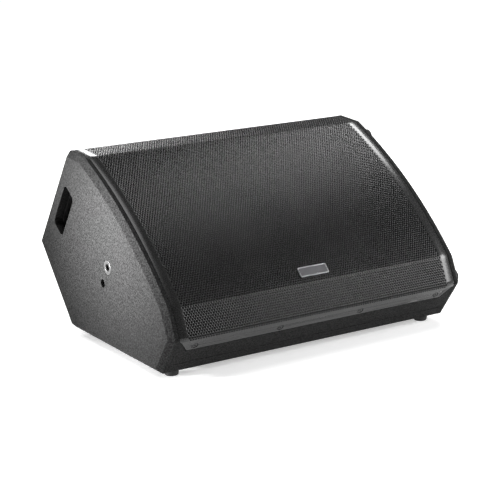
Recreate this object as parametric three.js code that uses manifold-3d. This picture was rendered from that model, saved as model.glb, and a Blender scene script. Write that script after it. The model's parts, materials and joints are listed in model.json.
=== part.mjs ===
// Stage monitor wedge: a low plywood loudspeaker cabinet with a curved, perforated steel front.
// Behind the front sit a 12-inch coaxial driver and two reflex ports, and the sloping rear panel
// carries a built-in amplifier with its sockets and controls.
// Millimetres. +Z is up, the front faces -Y, and +X is on the right of someone facing the front.
// The origin is the centre of the footprint, on the surface that the feet stand on.

import * as THREE from "three";
import { mergeVertices } from "three/addons/utils/BufferGeometryUtils.js";
import Module from "manifold-3d";

const wasm = await Module();
wasm.setup();

// ---------------------------------------------------------------- driving dimensions

const WIDTH = 540; // over the outer faces of the side panels
const BOARD = 15; // plywood of the cabinet
const BAFFLE = 18; // plywood of the baffle
const GAP = 0.3; // clearance at a glued or resting joint
const HALF = WIDTH / 2;
const INSIDE = HALF - BOARD; // half of the width between the side panels

// Corners of the cabinet's side view, as distance behind the nose and height above the underside.
const BOTTOM_FRONT = new THREE.Vector2(44, 0);
const BOTTOM_REAR = new THREE.Vector2(332, 0);
const REAR = new THREE.Vector2(439.2, 125.5);
const TOP_REAR = new THREE.Vector2(321, 292.5);
const TOP_FRONT = new THREE.Vector2(270, 288.8);
const LIP = new THREE.Vector2(19.2, 104.8);
const NOSE = new THREE.Vector2(0, 61);
const FRONT_BULGE = 15.7; // how far the main front stands out from the chord between its ends
const FRONT_STEPS = 12;

const CHAMFER_WIDTH = 9; // chamfer round the side panels, across the cabinet
const CHAMFER_DEPTH = 8.5; // the same chamfer, in the plane of the side

const SHEET = 1.6; // steel of the grille
const GRILLE_SIDE_GAP = 0.6;
const FOAM = 4;
const FLANGE = 27; // the grille's folded edge on the front lower panel
const FLANGE_CORNER = 19;
const REBATE = 2.2; // recess that takes the folded edge
const SCREW_DROP = 19.4; // grille screws below the nose fold
const SCREW_SPACING = 149;
const SCREW_COUNT = 4;
const BADGE = { width: 52, height: 16.5, thickness: 1.6, behindNose: 31.5, radius: 2.5 };

const FOOT = { radius: 12, height: 11, x: 235, inset: 20 };
const SIDE_FOOT = { radius: 12, height: 6 };
const SIDE_FOOT_PLACES = {
  nose: new THREE.Vector2(28, 65),
  top: new THREE.Vector2(262, 262),
};

const HANDLE = { length: 84, width: 34, radius: 8, depth: 43.8, shift: 11.8, cup: 48, wall: 2.5 };
const BRACKET = {
  place: new THREE.Vector2(192, 131),
  flange: 12,
  bore: 5,
  lip: 2.5,
  barrel: 8,
  length: 13,
};
const LOCATING = { place: new THREE.Vector2(209.7, 102.3), radius: 6.5, depth: 7 };

const BAFFLE_SET_BACK = 14; // front of the baffle below the chord of the front
const DRIVER = { radius: 157.5, cutOut: 143, flange: 5, boltCircle: 152, neck: 38 };
const PORT = { x: 205, y: -108, outer: 36, inner: 33.5, flange: 42, length: 75 };

const AMP = { width: 342, height: 172, plate: 3, setBack: 6, radius: 8, ledge: 13 };
const AMP_REAR = -60; // back of the amplifier's cover, from the rear face of the cabinet
const HEATSINK = { x: 85, width: 120, height: 128, fins: 13, fin: 2.5, base: 5, border: 6 };
const CONNECTOR = { width: 26, height: 31, flange: 2, barrel: 11.8, socket: 9.6, depth: 18 };
const INPUT = { x: -122, y: -30 };
const LINK = { x: -84, y: -30 };
const MAINS = { x: -32, y: -34 };
const SWITCH = { x: -20, y: 32 };
const LEVEL = { x: -130, y: 32 };
const MODE = { x: -98, y: 32 };
const LAMP = { x: -72, y: 38 };

const FINE = 24; // sides of a large circle
const COARSE = 12; // sides of a small circle

// ---------------------------------------------------------------- materials

const finish = (color, roughness, metalness) =>
  new THREE.MeshStandardMaterial({ color, roughness, metalness });
const paint = finish(0x2e3032, 0.75, 0);
const steel = finish(0x1b1c1d, 0.5, 0.6);
const zinc = finish(0x9a9da0, 0.4, 0.9);
const magnetBlack = finish(0x2a2a2c, 0.6, 0.3);
const aluminium = finish(0x8c8f92, 0.4, 0.9);
const castBlack = finish(0x202122, 0.55, 0.5);
const plastic = finish(0x151515, 0.45, 0);
const rubber = finish(0x101010, 0.85, 0);
const foam = finish(0x0c0c0c, 1, 0);
const paper = finish(0x262422, 0.9, 0);
const cloth = finish(0x4a3320, 0.9, 0);
const wadding = finish(0xb9b4a6, 1, 0);
const board = finish(0x1d4a2c, 0.5, 0);
const copper = finish(0xa5622f, 0.35, 0.9);
const lens = finish(0x2fbf4f, 0.2, 0);

// ---------------------------------------------------------------- solids

// A closed geometry as a solid, with its faces turned outwards.
function solid(geometry) {
  const bare = new THREE.BufferGeometry();
  bare.setAttribute("position", geometry.getAttribute("position"));
  bare.setIndex(geometry.index);
  const merged = mergeVertices(bare, 1e-4);
  const corners = merged.attributes.position.array;
  const faces = [];
  for (let i = 0; i < merged.index.count; i += 3) {
    const [a, b, c] = merged.index.array.subarray(i, i + 3);
    if (a !== b && b !== c && c !== a) faces.push(a, b, c);
  }
  const triangles = new Uint32Array(faces);
  if (signedVolume(corners, triangles) < 0) triangles.reverse();
  return new wasm.Manifold(
    new wasm.Mesh({ numProp: 3, vertProperties: corners, triVerts: triangles }),
  );
}

function signedVolume(corners, triangles) {
  const at = (i) => new THREE.Vector3().fromArray(corners, 3 * triangles[i]);
  let total = 0;
  for (let i = 0; i < triangles.length; i += 3) {
    total += at(i).dot(at(i + 1).cross(at(i + 2)));
  }
  return total;
}

function add(parent, name, body, material, position = [0, 0, 0]) {
  const { vertProperties, triVerts } = body.getMesh();
  const geometry = new THREE.BufferGeometry();
  geometry.setAttribute("position", new THREE.BufferAttribute(vertProperties, 3));
  geometry.setIndex(new THREE.BufferAttribute(triVerts, 1));
  geometry.computeVertexNormals();
  const mesh = new THREE.Mesh(geometry, material);
  mesh.name = name;
  mesh.position.set(...position);
  parent.add(mesh);
}

const join = (first, ...others) => others.reduce((made, other) => made.add(other), first);
const cut = (first, ...others) => others.reduce((made, other) => made.subtract(other), first);

// A box from its two opposite corners.
function box(low, high) {
  const size = high.map((value, i) => value - low[i]);
  const middle = high.map((value, i) => (value + low[i]) / 2);
  return solid(new THREE.BoxGeometry(...size).translate(...middle));
}

// A cylinder along Z between two heights, centred on x, y.
function rod(radius, from, to, x = 0, y = 0, sides = COARSE) {
  const geometry = new THREE.CylinderGeometry(radius, radius, to - from, sides);
  return solid(geometry.rotateX(Math.PI / 2).translate(x, y, (from + to) / 2));
}

// A cylinder along X through a point of the side view.
function crossRod(radius, from, to, place, sides = COARSE) {
  const geometry = new THREE.CylinderGeometry(radius, radius, Math.abs(to - from), sides);
  return solid(geometry.rotateZ(Math.PI / 2).translate((from + to) / 2, place.x, place.y));
}

// A closed outline of [radius, height] points turned about Z.
function turned(outline, sides = FINE) {
  const points = [...outline, outline[0]].map(([r, z]) => new THREE.Vector2(r, z));
  return solid(new THREE.LatheGeometry(points, sides).rotateX(Math.PI / 2));
}

function ring(inner, outer, from, to, sides = FINE) {
  return turned([[inner, from], [outer, from], [outer, to], [inner, to]], sides);
}

// A rectangle with round corners, centred on the origin unless a centre is given.
function roundedRectangle(width, height, radius, x = 0, y = 0) {
  const left = x - width / 2;
  const low = y - height / 2;
  const shape = new THREE.Shape();
  shape.moveTo(left + radius, low);
  shape.absarc(left + width - radius, low + radius, radius, -Math.PI / 2, 0);
  shape.absarc(left + width - radius, low + height - radius, radius, 0, Math.PI / 2);
  shape.absarc(left + radius, low + height - radius, radius, Math.PI / 2, Math.PI);
  shape.absarc(left + radius, low + radius, radius, Math.PI, 1.5 * Math.PI);
  return shape;
}

// A shape in X and Y, thickened along Z between two heights.
function slab(shape, from, to) {
  const options = { depth: to - from, bevelEnabled: false, curveSegments: 5 };
  return solid(new THREE.ExtrudeGeometry(shape, options).translate(0, 0, from));
}

// ---------------------------------------------------------------- side view

const EDGE = {
  bottom: [BOTTOM_FRONT, BOTTOM_REAR],
  rearLower: [BOTTOM_REAR, REAR],
  rearUpper: [REAR, TOP_REAR],
  top: [TOP_REAR, TOP_FRONT],
  front: [TOP_FRONT, LIP],
  lip: [LIP, NOSE],
  frontLower: [NOSE, BOTTOM_FRONT],
};

// How far a point lies inside an edge of the side view.
function depthInside([start, end], point) {
  const along = end.clone().sub(start).normalize();
  return along.cross(point.clone().sub(start));
}

// The part of a convex polygon at a depth of at least (sense 1) or at most (sense -1) the given one.
function clipped(polygon, edge, depth, sense) {
  const kept = [];
  polygon.forEach((corner, i) => {
    const next = polygon[(i + 1) % polygon.length];
    const here = sense * (depthInside(edge, corner) - depth);
    const there = sense * (depthInside(edge, next) - depth);
    if (here >= 0) kept.push(corner);
    if (here * there < 0) kept.push(corner.clone().lerp(next, here / (here - there)));
  });
  return kept;
}

// A board's section: [edge, least depth, most depth] for each edge of the side view that bounds it.
function section(...limits) {
  let polygon = [[-1, -1], [1, -1], [1, 1], [-1, 1]].map(([y, z]) =>
    new THREE.Vector2(y, z).multiplyScalar(2 * WIDTH),
  );
  for (const [edge, least, most] of limits) {
    polygon = clipped(polygon, edge, least, 1);
    if (most !== undefined) polygon = clipped(polygon, edge, most, -1);
  }
  return polygon;
}

const SECTION_TO_CABINET = new THREE.Matrix4().makeBasis(
  new THREE.Vector3(0, 1, 0),
  new THREE.Vector3(0, 0, 1),
  new THREE.Vector3(1, 0, 0),
);

// A section of the side view stretched across the cabinet.
function across(polygon, from, to) {
  const options = { depth: to - from, bevelEnabled: false };
  const geometry = new THREE.ExtrudeGeometry(new THREE.Shape(polygon), options);
  return solid(geometry.applyMatrix4(SECTION_TO_CABINET).translate(from, 0, 0));
}

// The curved main front, from its top to the lip, set in from the outside by a depth.
function frontCurve(depth = 0) {
  const half = TOP_FRONT.distanceTo(LIP) / 2;
  const radius = (half * half + FRONT_BULGE * FRONT_BULGE) / (2 * FRONT_BULGE);
  const middle = TOP_FRONT.clone().add(LIP).multiplyScalar(0.5);
  const along = LIP.clone().sub(TOP_FRONT).normalize();
  const outward = new THREE.Vector2(along.y, -along.x);
  const centre = middle.clone().addScaledVector(outward, FRONT_BULGE - radius);
  const reach = Math.asin(half / radius);
  return Array.from({ length: FRONT_STEPS + 1 }, (_, i) => {
    const angle = reach * ((2 * i) / FRONT_STEPS - 1);
    const point = centre.clone().addScaledVector(along, (radius - depth) * Math.sin(angle));
    return point.addScaledVector(outward, (radius - depth) * Math.cos(angle));
  });
}

// Where two edges of the side view cross, each set in by its own depth.
function crossing(first, firstDepth, second, secondDepth) {
  const [start, end] = first;
  const along = end.clone().sub(start);
  const inward = new THREE.Vector2(-along.y, along.x).normalize();
  const from = start.clone().addScaledVector(inward, firstDepth);
  const here = depthInside(second, from) - secondDepth;
  const there = depthInside(second, from.clone().add(along)) - secondDepth;
  return from.addScaledVector(along, here / (here - there));
}

// ---------------------------------------------------------------- groups

const wedge = new THREE.Group();
const cabinet = new THREE.Group();
const origin = new THREE.Vector3(SIDE_FOOT.height / 2, REAR.x / 2, -FOOT.height);
cabinet.position.copy(origin).negate();
wedge.add(cabinet);

// A group whose Z points out of an edge of the side view, with its origin at the edge's middle.
// Its Y runs up the edge.
function groupOn([start, end]) {
  const group = new THREE.Group();
  const middle = start.clone().add(end).multiplyScalar(0.5);
  const rise = end.clone().sub(start).normalize();
  const up = rise.y < 0 ? rise.clone().negate() : rise;
  const yAxis = new THREE.Vector3(0, up.x, up.y);
  const zAxis = new THREE.Vector3(0, rise.y, -rise.x);
  const xAxis = new THREE.Vector3().crossVectors(yAxis, zAxis);
  const basis = new THREE.Matrix4().makeBasis(xAxis, yAxis, zAxis);
  group.quaternion.setFromRotationMatrix(basis);
  group.position.set(0, middle.x, middle.y);
  cabinet.add(group);
  return group;
}

const front = groupOn(EDGE.front);
const rear = groupOn(EDGE.rearUpper);

// ---------------------------------------------------------------- side panels, handles, inserts

const outline = [
  BOTTOM_FRONT,
  BOTTOM_REAR,
  REAR,
  TOP_REAR,
  ...frontCurve(),
  NOSE,
];
const facePlace = outline.map((corner, i) => {
  const before = outline.at(i - 1);
  const after = outline[(i + 1) % outline.length];
  return crossing([before, corner], CHAMFER_DEPTH, [corner, after], CHAMFER_DEPTH);
});

// A solid through rings of matching points, closed by a flat face on the first and last ring.
function lofted(rings) {
  const count = rings[0].points.length;
  const positions = rings.flatMap(({ x, points }) => points.flatMap((p) => [x, p.x, p.y]));
  const faces = [];
  rings.slice(1).forEach((_, level) => {
    for (let i = 0; i < count; i += 1) {
      const a = level * count + i;
      const b = level * count + ((i + 1) % count);
      faces.push(a, b, b + count, a, b + count, a + count);
    }
  });
  const last = (rings.length - 1) * count;
  THREE.ShapeUtils.triangulateShape(rings[0].points, []).forEach(([a, b, c]) => {
    faces.push(a, c, b);
  });
  THREE.ShapeUtils.triangulateShape(rings.at(-1).points, []).forEach(([a, b, c]) => {
    faces.push(last + a, last + b, last + c);
  });
  const geometry = new THREE.BufferGeometry();
  geometry.setAttribute("position", new THREE.Float32BufferAttribute(positions, 3));
  geometry.setIndex(faces);
  return solid(geometry);
}

const rearUpAlong = TOP_REAR.clone().sub(REAR).normalize();
const rearUpMiddle = REAR.clone().add(TOP_REAR).multiplyScalar(0.5);
const handleCentre = rearUpMiddle
  .clone()
  .addScaledVector(rearUpAlong, HANDLE.shift)
  .add(new THREE.Vector2(-rearUpAlong.y, rearUpAlong.x).multiplyScalar(HANDLE.depth));

// The handle's slot in the side view, widened all round by a margin.
function handleSlot(margin) {
  const shape = roundedRectangle(
    HANDLE.length + 2 * margin,
    HANDLE.width + 2 * margin,
    HANDLE.radius + margin,
  );
  return shape
    .getPoints(4)
    .map((point) => point.rotateAround(new THREE.Vector2(), rearUpAlong.angle()).add(handleCentre))
    .filter((point, i, all) => point.distanceTo(all.at(i - 1)) > 1e-3);
}

// A stretch across the cabinet given by distances from the middle, on either side.
function acrossSide(polygon, side, near, far) {
  const [from, to] = side < 0 ? [-far, -near] : [near, far];
  return across(polygon, from, to);
}

for (const [word, side] of [["left", -1], ["right", 1]]) {
  const rings = [
    { x: side * INSIDE, points: outline },
    { x: side * (HALF - CHAMFER_WIDTH), points: outline },
    { x: side * HALF, points: facePlace },
  ];
  const panel = cut(
    lofted(rings),
    acrossSide(handleSlot(0), side, INSIDE - 1, HALF + 1),
    crossRod(BRACKET.flange + GAP, side * (HALF - BRACKET.lip - GAP), side * (HALF + 1), BRACKET.place),
    crossRod(BRACKET.barrel + GAP, side * (INSIDE - 1), side * HALF, BRACKET.place),
    crossRod(LOCATING.radius, side * (HALF - LOCATING.depth), side * (HALF + 1), LOCATING.place),
  );
  add(cabinet, `side_panel_${word}`, panel, paint);

  const cup = cut(
    acrossSide(handleSlot(HANDLE.wall), side, INSIDE - HANDLE.cup, INSIDE - GAP),
    acrossSide(handleSlot(0), side, INSIDE - HANDLE.cup + HANDLE.wall, INSIDE),
  );
  add(cabinet, `handle_cup_${word}`, cup, plastic);

  const insert = cut(
    join(
      crossRod(BRACKET.flange, side * (HALF - BRACKET.lip), side * HALF, BRACKET.place),
      crossRod(BRACKET.barrel, side * (HALF - BRACKET.length), side * HALF, BRACKET.place),
    ),
    crossRod(BRACKET.bore, side * (HALF - BRACKET.length - 1), side * (HALF + 1), BRACKET.place),
  );
  add(cabinet, `bracket_insert_${word}`, insert, zinc);
}

// ---------------------------------------------------------------- boards across the cabinet

const sheetDepth = SHEET + GAP;

add(
  cabinet,
  "bottom_panel",
  across(
    section([EDGE.bottom, 0, BOARD], [EDGE.rearLower, BOARD + GAP], [EDGE.frontLower, 0]),
    -INSIDE,
    INSIDE,
  ),
  paint,
);

add(
  cabinet,
  "rear_lower_panel",
  across(
    section([EDGE.rearLower, 0, BOARD], [EDGE.rearUpper, BOARD + GAP], [EDGE.bottom, 0]),
    -INSIDE,
    INSIDE,
  ),
  paint,
);

// The grille screws stand square to the front lower panel, in a row below the nose fold.
const lowerAlong = BOTTOM_FRONT.clone().sub(NOSE).normalize();
const lowerOut = new THREE.Vector2(lowerAlong.y, -lowerAlong.x);
const screwPlace = NOSE.clone().addScaledVector(lowerAlong, SCREW_DROP);
const screwXs = Array.from(
  { length: SCREW_COUNT },
  (_, i) => SCREW_SPACING * (i - (SCREW_COUNT - 1) / 2),
);
const screws = new THREE.Group();
screws.position.set(0, screwPlace.x, screwPlace.y);
screws.rotation.x = Math.atan2(-lowerOut.x, lowerOut.y);
cabinet.add(screws);
screws.updateMatrix();

// A body drawn round a screw's axis, moved to each screw's place on the cabinet.
function atScrews(body) {
  return screwXs.map((x) => body.translate([x, 0, 0]).transform(screws.matrix.elements));
}

const lowerBoard = across(
  section(
    [EDGE.frontLower, 0, BOARD],
    [EDGE.bottom, BOARD + GAP],
    [EDGE.lip, sheetDepth],
  ),
  -INSIDE,
  INSIDE,
);
// The frame of the folded edge: Y runs up the front lower panel to the nose, and Z out of it.
const grilleHalf = INSIDE - GRILLE_SIDE_GAP;
const foldFrame = new THREE.Matrix4().makeBasis(
  new THREE.Vector3(1, 0, 0),
  new THREE.Vector3(0, -lowerAlong.x, -lowerAlong.y),
  new THREE.Vector3(0, lowerOut.x, lowerOut.y),
);
foldFrame.setPosition(0, NOSE.x, NOSE.y);

// The folded edge with its cut corners, reaching up past the nose, widened by a margin.
function foldedEdge(margin, from, to) {
  const half = grilleHalf + margin;
  const drop = FLANGE + margin;
  const shape = new THREE.Shape();
  shape.moveTo(half, 2 * FLANGE);
  shape.lineTo(-half, 2 * FLANGE);
  shape.lineTo(-half, 0);
  shape.lineTo(-half + FLANGE_CORNER, -drop);
  shape.lineTo(half - FLANGE_CORNER, -drop);
  shape.lineTo(half, 0);
  return slab(shape, from, to).transform(foldFrame.elements);
}
const rebate = foldedEdge(1, -REBATE, REBATE);
const screwHead = { radius: 4.2, height: 1.8 };
const screwShank = { radius: 2, length: 12 };
add(
  cabinet,
  "front_lower_panel",
  cut(lowerBoard, rebate, ...atScrews(rod(screwShank.radius + GAP, -screwShank.length - 1, 1))),
  paint,
);

const ampRebate = AMP.setBack + AMP.plate + GAP;
const coverGap = 2; // round the amplifier's cover where it passes through the board
const toRear = (body) => {
  rear.updateMatrix();
  return body.transform(rear.matrix.elements);
};
add(
  cabinet,
  "rear_upper_panel",
  cut(
    across(
      section([EDGE.rearUpper, 0, BOARD], [EDGE.rearLower, 0], [EDGE.top, sheetDepth]),
      -INSIDE,
      INSIDE,
    ),
    toRear(
      join(
        slab(roundedRectangle(AMP.width + 1, AMP.height + 1, AMP.radius), -ampRebate, 1),
        slab(
          roundedRectangle(AMP.width - 2 * AMP.ledge, AMP.height - 2 * AMP.ledge, coverGap),
          -BOARD - 1,
          1,
        ),
      ),
    ),
  ),
  paint,
);

const toFront = (body) => {
  front.updateMatrix();
  return body.transform(front.matrix.elements);
};
const baffleFace = -BAFFLE_SET_BACK;
add(
  cabinet,
  "baffle_board",
  cut(
    across(
      section(
        [EDGE.front, BAFFLE_SET_BACK, BAFFLE_SET_BACK + BAFFLE],
        [EDGE.frontLower, BOARD + GAP],
        [EDGE.rearUpper, BOARD + GAP],
        [EDGE.lip, sheetDepth],
        [EDGE.top, sheetDepth],
      ),
      -INSIDE,
      INSIDE,
    ),
    toFront(
      join(
        rod(DRIVER.cutOut, baffleFace - BAFFLE - 1, baffleFace + 1, 0, 0, FINE),
        rod(PORT.outer + GAP, baffleFace - BAFFLE - 1, baffleFace + 1, -PORT.x, PORT.y, FINE),
        rod(PORT.outer + GAP, baffleFace - BAFFLE - 1, baffleFace + 1, PORT.x, PORT.y, FINE),
      ),
    ),
  ),
  paint,
);

add(
  cabinet,
  "damping_pad",
  across(
    section([EDGE.rearLower, BOARD + GAP, BOARD + 20], [EDGE.bottom, BOARD + 2], [EDGE.rearUpper, 62]),
    -200,
    200,
  ),
  wadding,
);

// ---------------------------------------------------------------- grille, foam, badge, screws

const top = EDGE.top;
const lip = EDGE.lip;
const lower = EDGE.frontLower;
const flangeEnd = (depth) => {
  const along = NOSE.clone().addScaledVector(lowerAlong, FLANGE);
  return along.addScaledVector(lowerOut, -depth);
};
const grilleOutside = [
  TOP_REAR,
  ...frontCurve(),
  NOSE,
  flangeEnd(0),
];
const grilleInside = [
  crossing(EDGE.rearUpper, 0, top, SHEET),
  ...frontCurve(SHEET).slice(1, -1),
  crossing(EDGE.front, SHEET, lip, SHEET),
  crossing(lip, SHEET, lower, SHEET),
  flangeEnd(SHEET),
];
grilleInside.splice(1, 0, crossing(top, SHEET, EDGE.front, SHEET));
const seatRadius = screwHead.radius + GAP;
const seat = turned([[0, -SHEET - 1], [seatRadius, -SHEET - 1], [seatRadius, 1], [0, 1]], COARSE);
const folded = across([...grilleOutside, ...grilleInside.reverse()], -grilleHalf, grilleHalf);
const cutCorners = cut(
  box([-WIDTH, -2 * FLANGE, -2 * SHEET], [WIDTH, 0, SHEET]).transform(foldFrame.elements),
  foldedEdge(0, -3 * SHEET, 2 * SHEET),
);
add(cabinet, "grille", cut(folded, cutCorners, ...atScrews(seat)), steel);

const foamOutside = frontCurve(SHEET + GAP);
const foamInside = frontCurve(SHEET + GAP + FOAM);
add(
  cabinet,
  "grille_foam",
  across([...foamOutside, ...foamInside.reverse()], -INSIDE + 3, INSIDE - 3),
  foam,
);

const screw = join(
  rod(screwHead.radius, -screwHead.height, 0),
  rod(screwShank.radius, -screwShank.length, -screwHead.height / 2),
);
screwXs.forEach((x, i) => add(screws, `grille_screw_${i + 1}`, screw, castBlack, [x, 0, 0]));

// The badge is flat and lies on the curve low on the front.
const curve = frontCurve();
const badgeIndex = curve.findIndex((point) => point.x < BADGE.behindNose) - 1;
const badgeStart = curve[badgeIndex];
const badgeSlope = curve[badgeIndex + 1].clone().sub(badgeStart).normalize();
const badgePlace = badgeStart
  .clone()
  .addScaledVector(badgeSlope, (BADGE.behindNose - badgeStart.x) / badgeSlope.x);
const badgeGroup = new THREE.Group();
badgeGroup.position.set(0, badgePlace.x, badgePlace.y);
badgeGroup.rotation.x = Math.atan2(-badgeSlope.y, -badgeSlope.x);
cabinet.add(badgeGroup);
const badgeShape = roundedRectangle(BADGE.width, BADGE.height, BADGE.radius);
add(badgeGroup, "badge", slab(badgeShape, GAP, GAP + BADGE.thickness), aluminium);

// ---------------------------------------------------------------- feet

const footProfile = [[0, -FOOT.height], [FOOT.radius - 1.5, -FOOT.height], [FOOT.radius, 0], [0, 0]];
const footBody = turned(footProfile, COARSE);
const footRows = { front: BOTTOM_FRONT.x + FOOT.inset, rear: BOTTOM_REAR.x - FOOT.inset };
for (const [row, y] of Object.entries(footRows)) {
  add(cabinet, `foot_${row}_left`, footBody, rubber, [-FOOT.x, y, 0]);
  add(cabinet, `foot_${row}_right`, footBody, rubber, [FOOT.x, y, 0]);
}
for (const [word, place] of Object.entries(SIDE_FOOT_PLACES)) {
  const body = crossRod(SIDE_FOOT.radius, 0, SIDE_FOOT.height, new THREE.Vector2());
  add(cabinet, `side_foot_${word}`, body, rubber, [HALF, place.x, place.y]);
}

// ---------------------------------------------------------------- coaxial driver

// Heights are measured from the front of the baffle, outwards.
const driver = new THREE.Group();
driver.position.z = baffleFace;
front.add(driver);

const basketDepth = 72;
const shelf = { inner: 70, outer: 80, top: -62 };
const basketFloor = -basketDepth;
const basket = turned([
  [DRIVER.radius, 0],
  [DRIVER.radius, DRIVER.flange],
  [139, DRIVER.flange],
  [139, -4],
  [shelf.outer - 2, shelf.top],
  [shelf.inner, shelf.top],
  [shelf.inner, basketFloor + 4],
  [44, basketFloor + 4],
  [44, basketFloor],
  [shelf.outer + 2, basketFloor],
  [shelf.outer + 2, shelf.top],
  [142, -4],
  [142, 0],
]);
const windowCount = 6;
const windowShape = new THREE.Shape([
  new THREE.Vector2(86, -26),
  new THREE.Vector2(150, -42),
  new THREE.Vector2(150, 42),
  new THREE.Vector2(86, 26),
]);
const windows = Array.from({ length: windowCount }, (_, i) =>
  slab(windowShape, -58, -22).rotate([0, 0, (360 * i) / windowCount]),
);
const terminal = box([-8, 70, -70], [8, 92, -62]);
add(driver, "woofer_frame", join(cut(basket, ...windows), terminal), castBlack);

const surroundLip = 0.8;
const rollInner = 129;
const rollOuter = 139.5;
const roll = (radius, steps) =>
  Array.from({ length: steps + 1 }, (_, i) => {
    const angle = (Math.PI * i) / steps;
    const centre = (rollInner + rollOuter) / 2;
    return [centre - radius * Math.cos(angle), DRIVER.flange + GAP + radius * Math.sin(angle)];
  });
const rollRadius = (rollOuter - rollInner) / 2;
const rollSteps = 4;
add(
  driver,
  "surround",
  turned([
    [rollInner - 3, DRIVER.flange + GAP],
    [rollInner - 3, DRIVER.flange + GAP + surroundLip],
    ...roll(rollRadius, rollSteps).slice(0, 1).map(([r, z]) => [r, z + surroundLip]),
    ...roll(rollRadius, rollSteps).slice(1, -1),
    [rollOuter, DRIVER.flange + GAP + surroundLip],
    [rollOuter + 6, DRIVER.flange + GAP + surroundLip],
    [rollOuter + 6, DRIVER.flange + GAP],
    ...roll(rollRadius - surroundLip, rollSteps).reverse(),
  ]),
  rubber,
);
const gasketFrom = DRIVER.flange + 2 * GAP + surroundLip;
add(driver, "woofer_gasket", ring(rollOuter + 0.5, rollOuter + 7, gasketFrom, gasketFrom + 2), foam);

const coneRim = DRIVER.flange;
const neckHeight = -48;
const coneSheet = 1;
add(
  driver,
  "cone",
  turned([
    [DRIVER.neck + 1.4, neckHeight],
    [rollInner - 2, coneRim - coneSheet],
    [rollInner - 2, coneRim],
    [rollInner - 4, coneRim],
    [DRIVER.neck + 1.4, neckHeight + 1.6 * coneSheet],
  ]),
  paper,
);
add(
  driver,
  "voice_coil",
  turned([
    [DRIVER.neck, neckHeight],
    [DRIVER.neck + 1, neckHeight],
    [DRIVER.neck + 1, -72],
    [DRIVER.neck + 1.5, -72],
    [DRIVER.neck + 1.5, -84],
    [DRIVER.neck, -84],
  ]),
  copper,
);

const spiderInner = DRIVER.neck + 1.4;
const spiderRadius = 77;
const spiderSteps = 4;
const spiderWave = (offset) =>
  Array.from({ length: spiderSteps + 1 }, (_, i) => [
    spiderInner + ((shelf.inner + 2 - spiderInner) * i) / spiderSteps,
    shelf.top + GAP + offset + (i % 2 === 0 ? 0 : 2),
  ]);
const spiderThick = 0.8;
const spiderRim = [
  [spiderRadius, shelf.top + GAP],
  [spiderRadius, shelf.top + GAP + spiderThick],
];
add(
  driver,
  "spider",
  turned([...spiderWave(0), ...spiderRim, ...spiderWave(spiderThick).reverse()]),
  cloth,
);

const plateTop = basketFloor - GAP;
const plateThickness = 8;
const magnetTop = plateTop - plateThickness - GAP;
const magnetHeight = 16;
const backTop = magnetTop - magnetHeight - GAP;
const backBottom = backTop - 8;
const poleBore = 17;
add(driver, "top_plate", ring(DRIVER.neck + 2.4, 70, plateTop - plateThickness, plateTop), steel);
add(driver, "magnet_ring", ring(50, 68, magnetTop - magnetHeight, magnetTop), magnetBlack);
add(
  driver,
  "back_plate",
  turned([
    [poleBore, backBottom],
    [70, backBottom],
    [70, backTop],
    [DRIVER.neck - 0.8, backTop],
    [DRIVER.neck - 0.8, plateTop],
    [poleBore, plateTop],
  ]),
  steel,
);

const throat = 12.7;
add(
  driver,
  "hf_horn",
  turned([
    [throat, backBottom],
    [throat + 2.5, backBottom],
    [throat + 2.8, plateTop],
    [24, -52],
    [32, -38],
    [46, -26],
    [46, -24],
    [44, -24],
    [30, -36],
    [21, -52],
    [throat + 0.4, plateTop],
  ]),
  plastic,
);

const hfTop = backBottom - GAP;
const hfBottom = hfTop - 22;
const hfRadius = 45;
const coilRadius = 22;
add(
  driver,
  "hf_driver_body",
  turned([
    [throat, hfTop],
    [throat, hfBottom],
    [coilRadius - 1, hfBottom],
    [coilRadius - 1, hfBottom + 7],
    [coilRadius + 2.2, hfBottom + 7],
    [coilRadius + 2.2, hfBottom],
    [hfRadius, hfBottom],
    [hfRadius, hfTop],
  ]),
  magnetBlack,
);
const domeBase = hfBottom - 1.2;
const domeRise = 8;
const domeSheet = 0.5;
const domeSteps = 3;
const domeArc = (radius, rise) =>
  Array.from({ length: domeSteps + 1 }, (_, i) => {
    const angle = ((Math.PI / 2) * i) / domeSteps;
    return [radius * Math.cos(angle), domeBase - rise * Math.sin(angle)];
  });
add(
  driver,
  "hf_diaphragm",
  turned([
    [coilRadius, hfBottom + 4],
    [coilRadius + 1, hfBottom + 4],
    [coilRadius + 1, domeBase],
    [28, domeBase],
    [28, domeBase - domeSheet],
    ...domeArc(coilRadius + domeSheet, domeRise + domeSheet).slice(1, -1),
    [0, domeBase - domeRise - domeSheet],
    ...domeArc(coilRadius, domeRise).reverse(),
  ]),
  aluminium,
);
const coverBottom = hfBottom - 17;
add(
  driver,
  "hf_rear_cover",
  turned([
    [31, hfBottom - GAP],
    [hfRadius, hfBottom - GAP],
    [hfRadius, coverBottom + 4],
    [hfRadius - 4, coverBottom],
    [0, coverBottom],
    [0, coverBottom + 3],
    [31, coverBottom + 3],
  ]),
  castBlack,
);

const boltHead = { radius: 4.5, height: 3.3 };
const boltCount = 4;
const boltSeat = DRIVER.flange + GAP;
const boltBody = rod(boltHead.radius, boltSeat, boltSeat + boltHead.height, 0, 0, 12);
for (let i = 0; i < boltCount; i += 1) {
  const angle = Math.PI * (0.25 + (2 * i) / boltCount);
  const place = [DRIVER.boltCircle * Math.cos(angle), DRIVER.boltCircle * Math.sin(angle), 0];
  add(driver, `woofer_bolt_${i + 1}`, boltBody, castBlack, place);
}

const portBody = turned([
  [PORT.inner, -PORT.length],
  [PORT.outer, -PORT.length],
  [PORT.outer, GAP],
  [PORT.flange, GAP],
  [PORT.flange, 2],
  [PORT.inner + 3, 2],
  [PORT.inner, -6],
]);
add(driver, "port_tube_left", portBody, plastic, [-PORT.x, PORT.y, 0]);
add(driver, "port_tube_right", portBody, plastic, [PORT.x, PORT.y, 0]);

// ---------------------------------------------------------------- amplifier

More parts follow.
